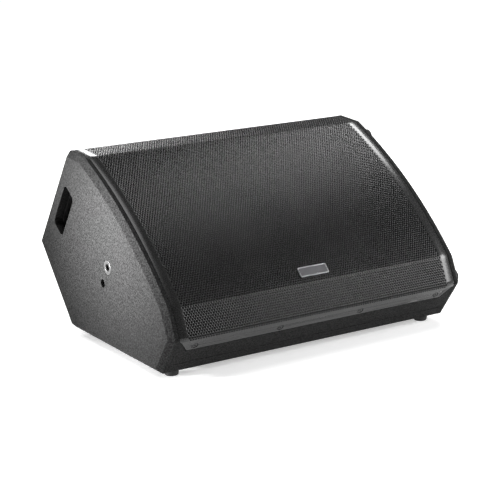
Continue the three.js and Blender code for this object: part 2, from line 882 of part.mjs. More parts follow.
// Heights are measured from the rear face of the cabinet, outwards; X runs to the right and Y up
// for someone who faces the rear panel.
const plateFront = -AMP.setBack;
const plateBack = plateFront - AMP.plate;
const connectorHole = (place) =>
  rod(CONNECTOR.barrel + GAP, plateBack - 1, plateFront + 1, place.x, place.y);
const mainsBody = { width: 28, height: 20, depth: 24, flangeWidth: 50, flangeHeight: 26 };
const switchBody = { width: 20, height: 28, depth: 18, bezelWidth: 25, bezelHeight: 33 };
const knob = { radius: 9, height: 9, shaft: 3, standoff: 0.6 };
const button = { radius: 3.8, height: 2.6, collar: 5.2 };
const lampRadius = 2.4;

function boxAt(place, width, height, from, to) {
  return box(
    [place.x - width / 2, place.y - height / 2, from],
    [place.x + width / 2, place.y + height / 2, to],
  );
}

const heatsinkPlace = { x: HEATSINK.x, y: 0 };
const bodyGap = 2 * GAP;
const ampPlate = cut(
  slab(roundedRectangle(AMP.width, AMP.height, AMP.radius), plateBack, plateFront),
  connectorHole(INPUT),
  connectorHole(LINK),
  boxAt(MAINS, mainsBody.width + bodyGap, mainsBody.height + bodyGap, plateBack - 1, 0),
  boxAt(SWITCH, switchBody.width + bodyGap, switchBody.height + bodyGap, plateBack - 1, 0),
  boxAt(heatsinkPlace, HEATSINK.width + 1, HEATSINK.height, plateBack - 1, 0),
  rod(knob.shaft + GAP, plateBack - 1, 0, LEVEL.x, LEVEL.y),
  rod(button.radius + GAP, plateBack - 1, 0, MODE.x, MODE.y),
  rod(lampRadius + GAP, plateBack - 1, 0, LAMP.x, LAMP.y),
);
add(rear, "amp_panel", ampPlate, castBlack);

const sinkTop = plateBack - GAP;
const finPitch = (HEATSINK.width - HEATSINK.fin) / (HEATSINK.fins - 1);
const fins = Array.from({ length: HEATSINK.fins }, (_, i) => {
  const place = { x: HEATSINK.x - (HEATSINK.width - HEATSINK.fin) / 2 + finPitch * i, y: 0 };
  return boxAt(place, HEATSINK.fin, HEATSINK.height - 4, sinkTop - 1, -0.5);
});
const sinkBase = boxAt(
  heatsinkPlace,
  HEATSINK.width + 2 * HEATSINK.border,
  HEATSINK.height + HEATSINK.border,
  sinkTop - HEATSINK.base,
  sinkTop,
);
add(rear, "heatsink", join(sinkBase, ...fins), aluminium);

const coverWall = 1.5;
const coverWidth = AMP.width - 2 * AMP.ledge - 2 * coverGap;
const coverHeight = AMP.height - 2 * AMP.ledge - 2 * coverGap;
const middle = { x: 0, y: 0 };
const cableHole = { x: 60, y: -40 };
add(
  rear,
  "amp_cover",
  cut(
    boxAt(middle, coverWidth, coverHeight, AMP_REAR, plateBack - GAP),
    boxAt(middle, coverWidth - 2 * coverWall, coverHeight - 2 * coverWall, AMP_REAR + coverWall, 0),
    rod(5, AMP_REAR - 1, AMP_REAR + coverWall + 1, cableHole.x, cableHole.y),
  ),
  zinc,
);

// A circuit board with its larger components standing on it.
function circuitBoard(place, width, height, level, components) {
  const sheet = boxAt(place, width, height, level, level + 1.6);
  const parts = components.map(({ x, y, w, h, r, tall }) => {
    const spot = { x: place.x + x, y: place.y + y };
    const top = level + 1 + tall;
    return r ? rod(r, level + 1, top, spot.x, spot.y, 12) : boxAt(spot, w, h, level + 1, top);
  });
  return join(sheet, ...parts);
}
const boardLevel = -52;
add(
  rear,
  "amplifier_board",
  circuitBoard({ x: 85, y: 0 }, 126, 120, boardLevel, [
    { x: -38, y: 30, r: 13, tall: 16 },
    { x: -4, y: 30, r: 13, tall: 16 },
    { x: 30, y: 34, w: 30, h: 12, tall: 26 },
    { x: 30, y: -34, w: 30, h: 12, tall: 26 },
    { x: -34, y: -14, r: 8, tall: 20 },
    { x: -12, y: -14, r: 8, tall: 20 },
  ]),
  board,
);
add(
  rear,
  "power_supply_board",
  circuitBoard({ x: -76, y: 0 }, 130, 120, boardLevel, [
    { x: -34, y: -34, w: 34, h: 32, tall: 17 },
    { x: 6, y: -40, r: 11, tall: 17 },
    { x: 32, y: -40, r: 11, tall: 17 },
    { x: 42, y: 36, w: 26, h: 30, tall: 15 },
  ]),
  board,
);

// The control board carries the level control and the mode switch behind the plate.
const controlLevel = -26;
const potTop = plateBack - 1;
add(
  rear,
  "control_board",
  cut(
    join(
      boxAt({ x: -114, y: 36 }, 62, 30, controlLevel, controlLevel + 1.6),
      rod(8.5, controlLevel + 1, potTop, LEVEL.x, LEVEL.y),
      boxAt(MODE, 7, 7, controlLevel + 1, plateBack - 7),
    ),
    rod(knob.shaft + GAP, controlLevel + 5, 0, LEVEL.x, LEVEL.y),
  ),
  board,
);

// A flush socket: square flange on the plate, round barrel behind it, round well open to the rear.
function socketShell(place) {
  const flangeTop = plateFront + CONNECTOR.flange;
  return cut(
    join(
      boxAt(place, CONNECTOR.width, CONNECTOR.height, plateFront, flangeTop),
      rod(CONNECTOR.barrel, plateFront - CONNECTOR.depth - 2, plateFront + 1, place.x, place.y),
    ),
    rod(CONNECTOR.socket, plateFront - CONNECTOR.depth + 2, 0, place.x, place.y),
  );
}
const pinAngles = [90, 210, 330];
const pins = (place, radius, bore, from, to) =>
  pinAngles.map((degrees) => {
    const angle = THREE.MathUtils.degToRad(degrees);
    const x = place.x + radius * Math.cos(angle);
    return rod(bore, from, to, x, place.y + radius * Math.sin(angle), 8);
  });
const wellFloor = plateFront - CONNECTOR.depth + 2;
const latchSize = { width: 9, height: 3.6, thick: 3 };
const latchPlace = { x: INPUT.x, y: INPUT.y + 12.4 };
const latchBack = plateFront + 1.6;
add(
  rear,
  "input_connector",
  cut(
    join(
      socketShell(INPUT),
      rod(CONNECTOR.socket - 2.4, wellFloor - 1, plateFront - 7, INPUT.x, INPUT.y),
    ),
    rod(3.3, wellFloor - 1, 0, INPUT.x, INPUT.y, 12),
    ...pins(INPUT, 5, 1, wellFloor + 2, 0),
    boxAt(
      latchPlace,
      latchSize.width + bodyGap,
      latchSize.height + bodyGap,
      plateFront - 1,
      0,
    ),
  ),
  plastic,
);
add(
  rear,
  "link_connector",
  join(socketShell(LINK), ...pins(LINK, 5, 1.2, wellFloor - 1, plateFront - 6)),
  plastic,
);

const mainsFloor = plateFront - mainsBody.depth + 4;
const blade = (dx, dy) => {
  const place = { x: MAINS.x + dx, y: MAINS.y + dy };
  return boxAt(place, 2, 4, mainsFloor - 1, plateFront - 7);
};
add(
  rear,
  "mains_inlet",
  join(
    cut(
      join(
        boxAt(MAINS, mainsBody.flangeWidth, mainsBody.flangeHeight, plateFront, plateFront + 2),
        boxAt(MAINS, mainsBody.width, mainsBody.height, plateFront - mainsBody.depth, plateFront + 1),
      ),
      boxAt(MAINS, mainsBody.width - 3.6, mainsBody.height - 3.6, mainsFloor, 0),
    ),
    blade(-7, -2),
    blade(7, -2),
    blade(0, 3),
  ),
  plastic,
);

const switchWall = 1.8;
add(
  rear,
  "switch_housing",
  cut(
    join(
      boxAt(SWITCH, switchBody.bezelWidth, switchBody.bezelHeight, plateFront, plateFront + 2),
      boxAt(
        SWITCH,
        switchBody.width,
        switchBody.height,
        plateFront - switchBody.depth,
        plateFront + 1,
      ),
    ),
    boxAt(
      SWITCH,
      switchBody.width - 2 * switchWall,
      switchBody.height - 2 * switchWall,
      plateFront - switchBody.depth + 3,
      0,
    ),
  ),
  plastic,
);

// ---------------------------------------------------------------- controls that move

const rockerPivot = plateFront - 3;
const rockerHalf = switchBody.height / 2 - switchWall - 0.8;
const rockerTilt = THREE.MathUtils.degToRad(8);
const rockerShape = new THREE.Shape([
  new THREE.Vector2(-rockerHalf, -3),
  new THREE.Vector2(0, -7),
  new THREE.Vector2(rockerHalf, -3),
  new THREE.Vector2(rockerHalf, 4.2),
  new THREE.Vector2(0, 2.4),
  new THREE.Vector2(-rockerHalf, 4.2),
]);
const rocker = new THREE.Group();
rocker.position.set(SWITCH.x, SWITCH.y, rockerPivot);
rocker.rotation.x = -rockerTilt;
rear.add(rocker);
const rockerWidth = switchBody.width - 2 * switchWall - 1;
add(
  rocker,
  "power_rocker",
  across(rockerShape.getPoints(), -rockerWidth / 2, rockerWidth / 2),
  plastic,
);

const knobLow = plateFront + knob.standoff;
const knobTop = knobLow + knob.height;
add(
  rear,
  "level_knob",
  join(
    rod(knob.shaft, controlLevel + 6, knobLow + 1, LEVEL.x, LEVEL.y),
    rod(knob.radius, knobLow, knobTop, LEVEL.x, LEVEL.y, COARSE),
    boxAt({ x: LEVEL.x, y: LEVEL.y + knob.radius - 4 }, 1.4, 6, knobTop - 1, knobTop + 0.8),
  ),
  plastic,
);
add(
  rear,
  "mode_button",
  join(
    rod(button.radius, plateBack - 4, plateFront + button.height, MODE.x, MODE.y),
    rod(button.collar, plateBack - 5, plateBack - 2, MODE.x, MODE.y),
  ),
  plastic,
);
add(
  rear,
  "input_latch",
  boxAt(latchPlace, latchSize.width, latchSize.height, latchBack, latchBack + latchSize.thick),
  zinc,
);
add(rear, "power_lamp", rod(lampRadius, plateBack - 3, plateFront + 1, LAMP.x, LAMP.y, 12), lens);

// ---------------------------------------------------------------- speaker lead

// A point given in a group's own frame, in the cabinet's frame.
function inCabinet(group, x, y, z) {
  group.updateMatrix();
  return new THREE.Vector3(x, y, z).applyMatrix4(group.matrix);
}
const leadRadius = 3;
const leadSection = new THREE.Shape();
leadSection.absarc(0, 0, leadRadius, 0, 2 * Math.PI);
const leadRoute = new THREE.CatmullRomCurve3([
  inCabinet(rear, cableHole.x, cableHole.y, AMP_REAR + 6),
  inCabinet(rear, cableHole.x, cableHole.y, AMP_REAR - 12),
  inCabinet(rear, 40, -34, AMP_REAR - 40),
  inCabinet(front, -16, 122, baffleFace - 78),
  inCabinet(front, 0, 106, baffleFace - 66),
  inCabinet(front, 0, 93, baffleFace - 66),
]);
const leadOptions = { steps: 14, bevelEnabled: false, extrudePath: leadRoute, curveSegments: 6 };
add(cabinet, "speaker_lead", solid(new THREE.ExtrudeGeometry(leadSection, leadOptions)), rubber);

export default wedge;
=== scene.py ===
"""The looks of a stage monitor wedge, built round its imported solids.

The cabinet is plywood in a coarse textured paint, behind a curved front of perforated steel.
Lengths in the dimension section are millimetres, in the cabinet's own frame: X runs to the right
of someone facing the front, Y from the nose to the rear, and Z up from the underside.
"""

import bisect
import json
import math

import bmesh
import bpy
from mathutils import Matrix, Vector


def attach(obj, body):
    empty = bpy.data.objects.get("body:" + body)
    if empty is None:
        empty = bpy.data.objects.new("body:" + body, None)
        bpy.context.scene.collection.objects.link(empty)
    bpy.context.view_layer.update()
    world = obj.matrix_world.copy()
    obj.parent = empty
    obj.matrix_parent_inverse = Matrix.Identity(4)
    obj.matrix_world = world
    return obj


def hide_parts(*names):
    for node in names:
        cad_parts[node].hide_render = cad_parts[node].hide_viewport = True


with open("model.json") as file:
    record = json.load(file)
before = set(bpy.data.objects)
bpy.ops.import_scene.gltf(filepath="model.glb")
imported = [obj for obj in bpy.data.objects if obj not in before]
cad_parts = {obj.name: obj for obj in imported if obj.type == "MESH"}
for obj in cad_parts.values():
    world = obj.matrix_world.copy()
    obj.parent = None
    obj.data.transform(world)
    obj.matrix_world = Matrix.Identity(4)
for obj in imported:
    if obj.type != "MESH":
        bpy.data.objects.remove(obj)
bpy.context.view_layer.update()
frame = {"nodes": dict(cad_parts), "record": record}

# ---------------------------------------------------------------- dimensions

MM = 0.001
WIDTH = 540
BOARD = 15
HALF = WIDTH / 2
INSIDE = HALF - BOARD
FOOT_HEIGHT = 11
SIDE_FOOT_HEIGHT = 6

# Corners of the side view: distance behind the nose, height above the underside.
BOTTOM_FRONT = Vector((44, 0))
BOTTOM_REAR = Vector((332, 0))
REAR_CORNER = Vector((439.2, 125.5))
TOP_REAR = Vector((321, 292.5))
TOP_FRONT = Vector((270, 288.8))
LIP = Vector((19.2, 104.8))
NOSE = Vector((0, 61))
FRONT_BULGE = 15.7
FRONT_STEPS = 48
PACKED_STEPS = 12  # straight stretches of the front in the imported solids

CHAMFER_WIDTH = 9
CHAMFER_DEPTH = 8.5
ARRIS = 0.9  # rounding of the painted arrises

SHEET = 1.6  # thickness of the perforated sheet
SHEET_GAP = 0.6  # between the sheet and a side panel
GRILLE_HALF = INSIDE - SHEET_GAP
ROLLED_EDGE = 0.6
FOLD = 3  # how far a fold's rounding reaches from its corner
FOLD_STEPS = 4
PITCH = 4.36  # between perforations along a row
ROW_PITCH = PITCH * math.sqrt(3) / 2
COLUMNS = 110
ROWS = 110
CHUNK_ROWS = 37  # rows in each of the pieces that the sheet is drawn in
LAST_ROW = 3.4  # last row of perforations beyond the nose fold
HOLE_SIDES = 8
HOLE_RADIUS = 1.7
HOLE_LIP = 0.16  # rounding of each perforation's edge, across the sheet
HOLE_LIP_DEPTH = 0.16
HOLE_DEPTH = 0.7  # how much of each perforation's wall is drawn
CLOTH_LEVELS = (SHEET + 0.05, SHEET + 0.2)  # faces of the cloth, below the sheet's outer face
CLOTH_MARGIN = 2  # at the folds
CLOTH_SIDE_MARGIN = 1

FLANGE = 27
FLANGE_CORNER = 19
SCREW_DROP = 19.4
SCREW_XS = (-223.5, -74.5, 74.5, 223.5)
SCREW_HEAD = 4.2
SCREW_SHANK = 2
SCREW_LENGTH = 12
SCREW_SEAT = 1.7  # underside of the head, below the flange's outer face
SCREW_SOCKET = 1.5
SCREW_SOCKET_DEPTH = 0.9
DIMPLE = 5.8
DIMPLE_FLOOR_RADIUS = SCREW_HEAD + 0.4
DIMPLE_LIP = 0.5
DIMPLE_DEPTH = 1.3

BADGE_WIDTH = 52
BADGE_HEIGHT = 16.5
BADGE_THICK = 1.6
BADGE_BEHIND_NOSE = 31.5
BADGE_RADIUS = 2.5
BADGE_RIM = 1.5
BADGE_GAP = 0.3

HANDLE_LENGTH = 84
HANDLE_WIDTH = 34
HANDLE_RADIUS = 8
HANDLE_DEPTH = 43.8  # from the rear face to the slot's middle
HANDLE_SHIFT = 11.8  # of the slot's middle up the rear face

BRACKET = Vector((192, 131))
BRACKET_FLANGE = 12
BRACKET_LIP = 2.5
BRACKET_BARREL = 8
BRACKET_BORE = 5
BRACKET_LENGTH = 13
BRACKET_FLANGE_PLAY = 0.4
BRACKET_BARREL_PLAY = 0.3
LOCATING = Vector((209.7, 102.3))
LOCATING_RADIUS = 6.5
LOCATING_DEPTH = 7

FOOT_RADIUS = 12
FOOT_BORE = 3.6  # recess for the foot's screw
FOOT_BORE_FLOOR = 8
FOOT_X = 235
FOOT_YS = {"front": 64, "rear": 312}
SIDE_FOOT_BORE_FLOOR = 3.5
SIDE_FOOT_ROUND = 0.8
SIDE_FOOT_PLACES = {"nose": Vector((28, 65)), "top": Vector((262, 262))}

AMP_SET_BACK = 6
AMP_PLATE = 3
AMP_WIDTH = 342
AMP_HEIGHT = 172

# Places on the rear face, from its middle: across it, and up its slope.
INPUT = Vector((-122, -30))
LINK = Vector((-84, -30))
LEVEL = Vector((-130, 32))
MODE = Vector((-98, 32))
LAMP = Vector((-72, 38))

PLATE_SCREW_MARGIN = 6.5
PLATE_SCREW_HEAD = 3.4
PLATE_SCREW_SHANK = 1.5
PLATE_SCREW_SOCKET = 1.2
PLATE_SCREW_RIM = 0.6
PLATE_SCREW_RISE = 1.6

CONNECTOR_WIDTH = 26
CONNECTOR_TALL = 31
CONNECTOR_FLANGE = 2
CONNECTOR_DEPTH = 18
CONNECTOR_CORNER = 3
CONNECTOR_HOLE = 1.6
CONNECTOR_HOLE_SIDES = 24
CONNECTOR_HOLE_MARGIN = 3.2
BARREL_RADIUS = 11.8
SOCKET_RADIUS = 9.6
LATCH_RECESS = (9.6, 4.2)
LATCH_CORNER = 0.6
LATCH_RISE = 12.4
PIN_CIRCLE = 5
PIN_ANGLES = (90, 210, 330)
PIN_RADIUS = 1.2
PIN_BORE = 1
PIN_TIP = 6  # how far the link socket's pins end below the plate's outer face
CORE_RADIUS = SOCKET_RADIUS - 2.4
CORE_BORE = 3.3
CORE_TIP = 7

KNOB_RADIUS = 9
KNOB_HEIGHT = 9
KNOB_STANDOFF = 0.6
KNOB_CAP_RADIUS = 7.8
KNOB_FLUTES = 24
FLUTE_STEPS = 8
FLUTE_DEPTH = 0.35
POINTER_WIDTH = 1.4
POINTER_LENGTH = 6
POINTER_CORNER = 0.6
POINTER_RISE = 0.8
SHAFT_RADIUS = 3
SHAFT_END = -26
DIAL_DOTS = 11
DIAL_DOT_RADIUS = 0.8
DIAL_DOT_RISE = 0.2
DIAL_GAP = 3.4
DIAL_SWEEP = 150

BUTTON_RADIUS = 3.8
BUTTON_HEIGHT = 2.6
BUTTON_COLLAR = 5.2
LAMP_RADIUS = 2.4

WELD = 0.01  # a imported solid's points closer than this become one
FLAT_DEGREES = 0.5  # packed faces that meet at less than this become one
SHARP_DEGREES = 35  # edges sharper than this are rounded or kept sharp
HOLE_SHARP_DEGREES = 60  # the same for the perforated sheet

SMOOTH_SIDES = 64
SMALL_SIDES = 32
TINY_SIDES = 16

# Rounded edges of the smaller pieces.
INSERT_ARRIS = 0.3
HANDLE_ARRIS = 0.8
FLANGE_ARRIS = 0.35
BADGE_ARRIS = 0.25
BADGE_FIELD_ARRIS = 0.15
CONNECTOR_ARRIS = 0.25
KNOB_ARRIS = 0.2
REAR_ARRISES = {
    "amp_panel": 0.3,
    "heatsink": 0.5,
    "mains_inlet": 0.4,
    "switch_housing": 0.4,
    "power_rocker": 0.5,
    "input_latch": 0.4,
}

# ---------------------------------------------------------------- camera and studio, in metres

# Angles in radians, and the lens in millimetres.
YAW = 0.5588
PITCH_DOWN = 0.2532
ROLL = -0.0212
LENS = 111.77
CLIP_END = 100
EYE = Vector((-1.2996, -2.08131, 0.75669))

LIGHT_TARGET = Vector((0, 0, 0.15))
BEAM_TARGET = Vector((-0.27, -0.06, 0.23))
BEAM_SOURCE = 0.15  # radius of the spotlight's source
WORLD_STRENGTH = 0.12
FLOOR_REACH = 30
FLOOR_GLOW = 0.48

# ---------------------------------------------------------------- frames

# From cabinet millimetres to the shared frame's metres.
CABINET = Matrix.Translation(
    Vector((-SIDE_FOOT_HEIGHT / 2, -REAR_CORNER.x / 2, FOOT_HEIGHT)) * MM
) @ Matrix.Scale(MM, 4)


def sloped(place, up, sense):
    """A frame at a point of the side view: Y runs up the slope and Z out of it."""
    up = up.normalized()
    out = Vector((up.y, -up.x)) * sense
    y_axis = Vector((0, up.x, up.y))
    z_axis = Vector((0, out.x, out.y))
    x_axis = y_axis.cross(z_axis)
    basis = Matrix((x_axis, y_axis, z_axis)).transposed().to_4x4()
    return CABINET @ Matrix.Translation((0, place.x, place.y)) @ basis


REAR = sloped((REAR_CORNER + TOP_REAR) / 2, TOP_REAR - REAR_CORNER, 1)
FLANGE_FRAME = sloped(NOSE, NOSE - BOTTOM_FRONT, -1)


def across(side):
    """A frame on a side panel's outer face: X is the side view's Y, Y its Z, and Z runs outwards."""
    x_axis = Vector((0, 1, 0))
    y_axis = Vector((0, 0, 1))
    basis = Matrix((x_axis, y_axis, Vector((side, 0, 0)))).transposed().to_4x4()
    return CABINET @ Matrix.Translation((side * HALF, 0, 0)) @ basis


# ---------------------------------------------------------------- shader helpers


class Shader:
    """A material with one Principled shader and short calls for the nodes that feed it."""

    def __init__(self, name, color, roughness, metallic=0.0, **sockets):
        self.material = bpy.data.materials.new(name)
        self.material.use_nodes = True
        self.tree = self.material.node_tree
        self.shader = self.tree.nodes["Principled BSDF"]
        self.shader.inputs["Base Color"].default_value = (*color, 1)
        self.shader.inputs["Roughness"].default_value = roughness
        self.shader.inputs["Metallic"].default_value = metallic
        for socket, value in sockets.items():
            self.shader.inputs[socket].default_value = value
        self.place = self.node("ShaderNodeTexCoord").outputs["Object"]

    def node(self, kind, **settings):
        made = self.tree.nodes.new(kind)
        for setting, value in settings.items():
            setattr(made, setting, value)
        return made

    def link(self, output, socket):
        self.tree.links.new(output, socket)

    def noise(self, scale, detail=3.0, roughness=0.5, stretch=None):
        made = self.node("ShaderNodeTexNoise")
        made.inputs["Scale"].default_value = scale
        made.inputs["Detail"].default_value = detail
        made.inputs["Roughness"].default_value = roughness
        self.link(self.stretched(stretch), made.inputs["Vector"])
        return made.outputs["Fac"]

    def cells(self, scale, feature="F1", stretch=None):
        made = self.node("ShaderNodeTexVoronoi", feature=feature)
        made.inputs["Scale"].default_value = scale
        self.link(self.stretched(stretch), made.inputs["Vector"])
        return made.outputs["Distance"]

    def stretched(self, stretch):
        if stretch is None:
            return self.place
        made = self.node("ShaderNodeMapping")
        made.inputs["Scale"].default_value = stretch
        self.link(self.place, made.inputs["Vector"])
        return made.outputs["Vector"]

    def ramp(self, value, low, high, low_value, high_value):
        made = self.node("ShaderNodeMapRange")
        made.inputs["From Min"].default_value = low
        made.inputs["From Max"].default_value = high
        made.inputs["To Min"].default_value = low_value
        made.inputs["To Max"].default_value = high_value
        self.link(value, made.inputs["Value"])
        return made.outputs["Result"]

    def math(self, operation, first, second):
        made = self.node("ShaderNodeMath", operation=operation)
        self.link(first, made.inputs[0])
        if isinstance(second, (int, float)):
            made.inputs[1].default_value = second
        else:
            self.link(second, made.inputs[1])
        return made.outputs["Value"]

    def tint(self, value, low_color, high_color, low=0.35, high=0.65):
        """Colours the base between two colours by a value."""
        made = self.node("ShaderNodeMix", data_type="RGBA")
        colors = [socket for socket in made.inputs if socket.type == "RGBA"]
        colors[0].default_value = (*low_color, 1)
        colors[1].default_value = (*high_color, 1)
        self.link(self.ramp(value, low, high, 0, 1), made.inputs[0])
        output = next(socket for socket in made.outputs if socket.type == "RGBA")
        self.link(output, self.shader.inputs["Base Color"])
        return self

    def rough(self, value, low_roughness, high_roughness, low=0.35, high=0.65):
        ramp = self.ramp(value, low, high, low_roughness, high_roughness)
        self.link(ramp, self.shader.inputs["Roughness"])
        return self

    def bump(self, height, depth_mm, strength=1.0):
        made = self.node("ShaderNodeBump")
        made.inputs["Strength"].default_value = strength
        made.inputs["Distance"].default_value = depth_mm * MM
        self.link(height, made.inputs["Height"])
        self.link(made.outputs["Normal"], self.shader.inputs["Normal"])
        return self


def grey(value):
    return (value, value, value)


# ---------------------------------------------------------------- materials


def textured_paint():
    """Coarse spatter paint: rounded grains about a millimetre and a half across."""
    made = Shader("textured_paint", grey(0.016), 0.6, **{"Specular IOR Level": 0.05})
    grains = made.noise(scale=470, detail=2.0)
    fine = made.noise(scale=1300, detail=2.0)
    height = made.math("ADD", grains, made.math("MULTIPLY", fine, 0.3))
    made.tint(grains, grey(0.005), grey(0.024), low=0.36, high=0.66)
    made.rough(fine, 0.55, 0.75)
    return made.bump(height, depth_mm=0.5).material


def powder_coat(name, color, roughness, depth_mm=0.03, specular=0.5):
    """Even paint with a fine orange peel."""
    made = Shader(name, grey(color), roughness, **{"Specular IOR Level": specular})
    peel = made.noise(scale=900, detail=2.0)
    cloud = made.noise(scale=14, detail=2.0)
    made.tint(cloud, grey(color * 0.85), grey(color * 1.2))
    made.rough(peel, roughness - 0.04, roughness + 0.06)
    return made.bump(peel, depth_mm).material


def moulded(name, color, roughness, depth_mm=0.05, scale=1400):
    """Moulded plastic or rubber with a fine grain."""
    made = Shader(name, color, roughness)
    grain = made.noise(scale, detail=2.0)
    cloud = made.noise(scale=30, detail=2.0)
    dark = tuple(0.85 * c for c in color)
    pale = tuple(1.15 * c for c in color)
    made.tint(cloud, dark, pale)
    made.rough(grain, roughness - 0.05, roughness + 0.07)
    return made.bump(grain, depth_mm).material


def metal(name, color, roughness, stretch=(1, 1, 1), scale=300, depth_mm=0.01):
    """Metal with a grain drawn out along the axis of the smallest stretch."""
    made = Shader(name, color, roughness, metallic=1.0)
    grain = made.noise(scale, roughness=0.6, stretch=stretch)
    dark = tuple(0.88 * c for c in color)
    made.tint(grain, dark, color)
    made.rough(grain, roughness - 0.06, roughness + 0.1)
    return made.bump(grain, depth_mm).material


def fibrous(name, low_color, high_color, scale, depth_mm, roughness=0.95):
    """Paper, cloth or wadding, with a coarse uneven surface."""
    made = Shader(name, high_color, roughness)
    grain = made.noise(scale, detail=5.0, roughness=0.7)
    made.tint(grain, low_color, high_color)
    made.rough(grain, roughness - 0.1, 1.0)
    return made.bump(grain, depth_mm).material


def open_foam():
    """Black foam with open pores, which throws back next to no light."""
    made = Shader("acoustic_foam", grey(0.002), 1.0, **{"Specular IOR Level": 0.0})
    pores = made.cells(scale=900)
    made.tint(pores, grey(0.001), grey(0.004), low=0.2, high=0.7)
    made.rough(pores, 0.9, 1.0)
    return made.bump(pores, depth_mm=0.4).material


def printed_board():
    """Green solder mask over raised tracks."""
    made = Shader("circuit_board", (0.01, 0.08, 0.03), 0.35)
    tracks = made.cells(scale=160, feature="DISTANCE_TO_EDGE")
    made.tint(tracks, (0.015, 0.12, 0.05), (0.008, 0.06, 0.025), low=0.02, high=0.06)
    made.rough(tracks, 0.3, 0.4, low=0.02, high=0.06)
    return made.bump(tracks, depth_mm=0.03).material


def green_lens():
    """The green lens of the power lamp."""
    made = Shader("lamp_lens", (0.03, 0.45, 0.08), 0.18)
    haze = made.noise(scale=800, detail=2.0)
    made.tint(haze, (0.02, 0.4, 0.06), (0.05, 0.55, 0.12))
    made.rough(haze, 0.12, 0.25)
    return made.bump(haze, depth_mm=0.01).material


FINISHES = {
    "textured_paint": textured_paint(),
    "grille_steel": powder_coat("grille_steel", 0.012, 0.26, depth_mm=0.001, specular=0.4),
    "acoustic_foam": open_foam(),
    "zinc_steel": metal("zinc_steel", (0.62, 0.62, 0.64), 0.32, stretch=(1, 1, 0.15)),
    "screw_black": powder_coat("screw_black", 0.007, 0.42, depth_mm=0.01),
    "foot_rubber": moulded("foot_rubber", grey(0.014), 0.72, depth_mm=0.08, scale=1100),
    "handle_plastic": moulded("handle_plastic", grey(0.01), 0.5),
    "badge_metal": metal(
        "badge_metal", (0.66, 0.67, 0.68), 0.28, stretch=(0.06, 1, 1), scale=900
    ),
    "cast_frame": powder_coat("cast_frame", 0.02, 0.5, depth_mm=0.08),
    "magnet": moulded("magnet", grey(0.03), 0.55),
    "pole_steel": metal("pole_steel", (0.2, 0.2, 0.21), 0.36, stretch=(1, 0.1, 1)),
    "cone_paper": fibrous(
        "cone_paper", grey(0.018), (0.04, 0.037, 0.034), scale=700, depth_mm=0.25
    ),
    "spider_cloth": fibrous(
        "spider_cloth", (0.14, 0.07, 0.03), (0.3, 0.17, 0.08), scale=1100, depth_mm=0.2
    ),
    "coil_wire": metal("coil_wire", (0.72, 0.33, 0.14), 0.3, stretch=(0.02, 1, 1), scale=1500),
    "diaphragm_metal": metal("diaphragm_metal", (0.7, 0.7, 0.71), 0.3),
    "wadding": fibrous("wadding", (0.36, 0.34, 0.29), (0.6, 0.57, 0.5), scale=260, depth_mm=1.0),
    "amp_plate": powder_coat("amp_plate", 0.014, 0.42, depth_mm=0.02),
    "heatsink_metal": metal(
        "heatsink_metal", grey(0.03), 0.42, stretch=(1, 0.05, 0.05), scale=600
    ),
    "circuit_board": printed_board(),
    "connector_plastic": moulded("connector_plastic", grey(0.014), 0.4, depth_mm=0.02),
    "control_plastic": moulded("control_plastic", grey(0.02), 0.36, depth_mm=0.02),
    "lamp_lens": green_lens(),
    "lead_rubber": moulded("lead_rubber", grey(0.018), 0.6),
}
slot_of = {part["node"]: part["material_slot"] for part in frame["record"]["subparts"]}
body_of = {}
for body, nodes in frame["record"]["behaviour"]["bodies"].items():
    for node in nodes:
        body_of[node] = body

# ---------------------------------------------------------------- mesh helpers


def shown(name, mesh, slot, body="cabinet", nodes=()):
    """Puts a mesh in the scene with its slot's material, moving with a body."""
    piece = bpy.data.objects.new(name, mesh)
    bpy.context.scene.collection.objects.link(piece)
    mesh.materials.append(FINISHES[slot])
    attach(piece, body)
    if nodes:
        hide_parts(*nodes)
    return piece


def mesh_of(name, points, faces, placing):
    """A mesh in metres from points in a frame's millimetres, with its faces turned outwards."""
    mesh = bpy.data.meshes.new(name)
    mesh.from_pydata([placing @ Vector(point) for point in points], [], faces)
    work = bmesh.new()
    work.from_mesh(mesh)
    bmesh.ops.recalc_face_normals(work, faces=work.faces)
    work.to_mesh(mesh)
    work.free()
    return mesh


def smooth(mesh, degrees=SHARP_DEGREES):
    """Shades a mesh as smooth except across its sharp edges."""
    mesh.shade_smooth()
    mesh.set_sharp_from_angle(angle=math.radians(degrees))
    return mesh


def softened(piece, width_mm, segments=2):
    """Rounds a piece's sharp edges so that they catch the light."""
    piece.data.shade_smooth()
    bevel = piece.modifiers.new("arris", "BEVEL")
    bevel.width = width_mm * MM
    bevel.segments = segments
    bevel.limit_method = "ANGLE"
    bevel.angle_limit = math.radians(SHARP_DEGREES)
    bevel.use_clamp_overlap = True
    weighted = piece.modifiers.new("normals", "WEIGHTED_NORMAL")
    weighted.keep_sharp = True
    return piece


def lathed(name, profile, placing, sides=SMOOTH_SIDES):
    """A closed profile of (radius, height) turned round Z. A radius of 0 is a point on the axis."""
    points = []
    rings = []
    for radius, height in profile:
        if radius == 0:
            rings.append([len(points)] * sides)
            points.append((0, 0, height))
            continue
        rings.append(list(range(len(points), len(points) + sides)))
        for i in range(sides):
            angle = 2 * math.pi * i / sides
            points.append((radius * math.cos(angle), radius * math.sin(angle), height))
    faces = []
    for low, high in zip(rings, rings[1:] + rings[:1]):
        for i in range(sides):
            after = (i + 1) % sides
            corners = [low[i], low[after], high[after], high[i]]
            face = [corner for n, corner in enumerate(corners) if corner != corners[n - 1]]
            if len(face) > 2:
                faces.append(face)
    return mesh_of(name, points, faces, placing)


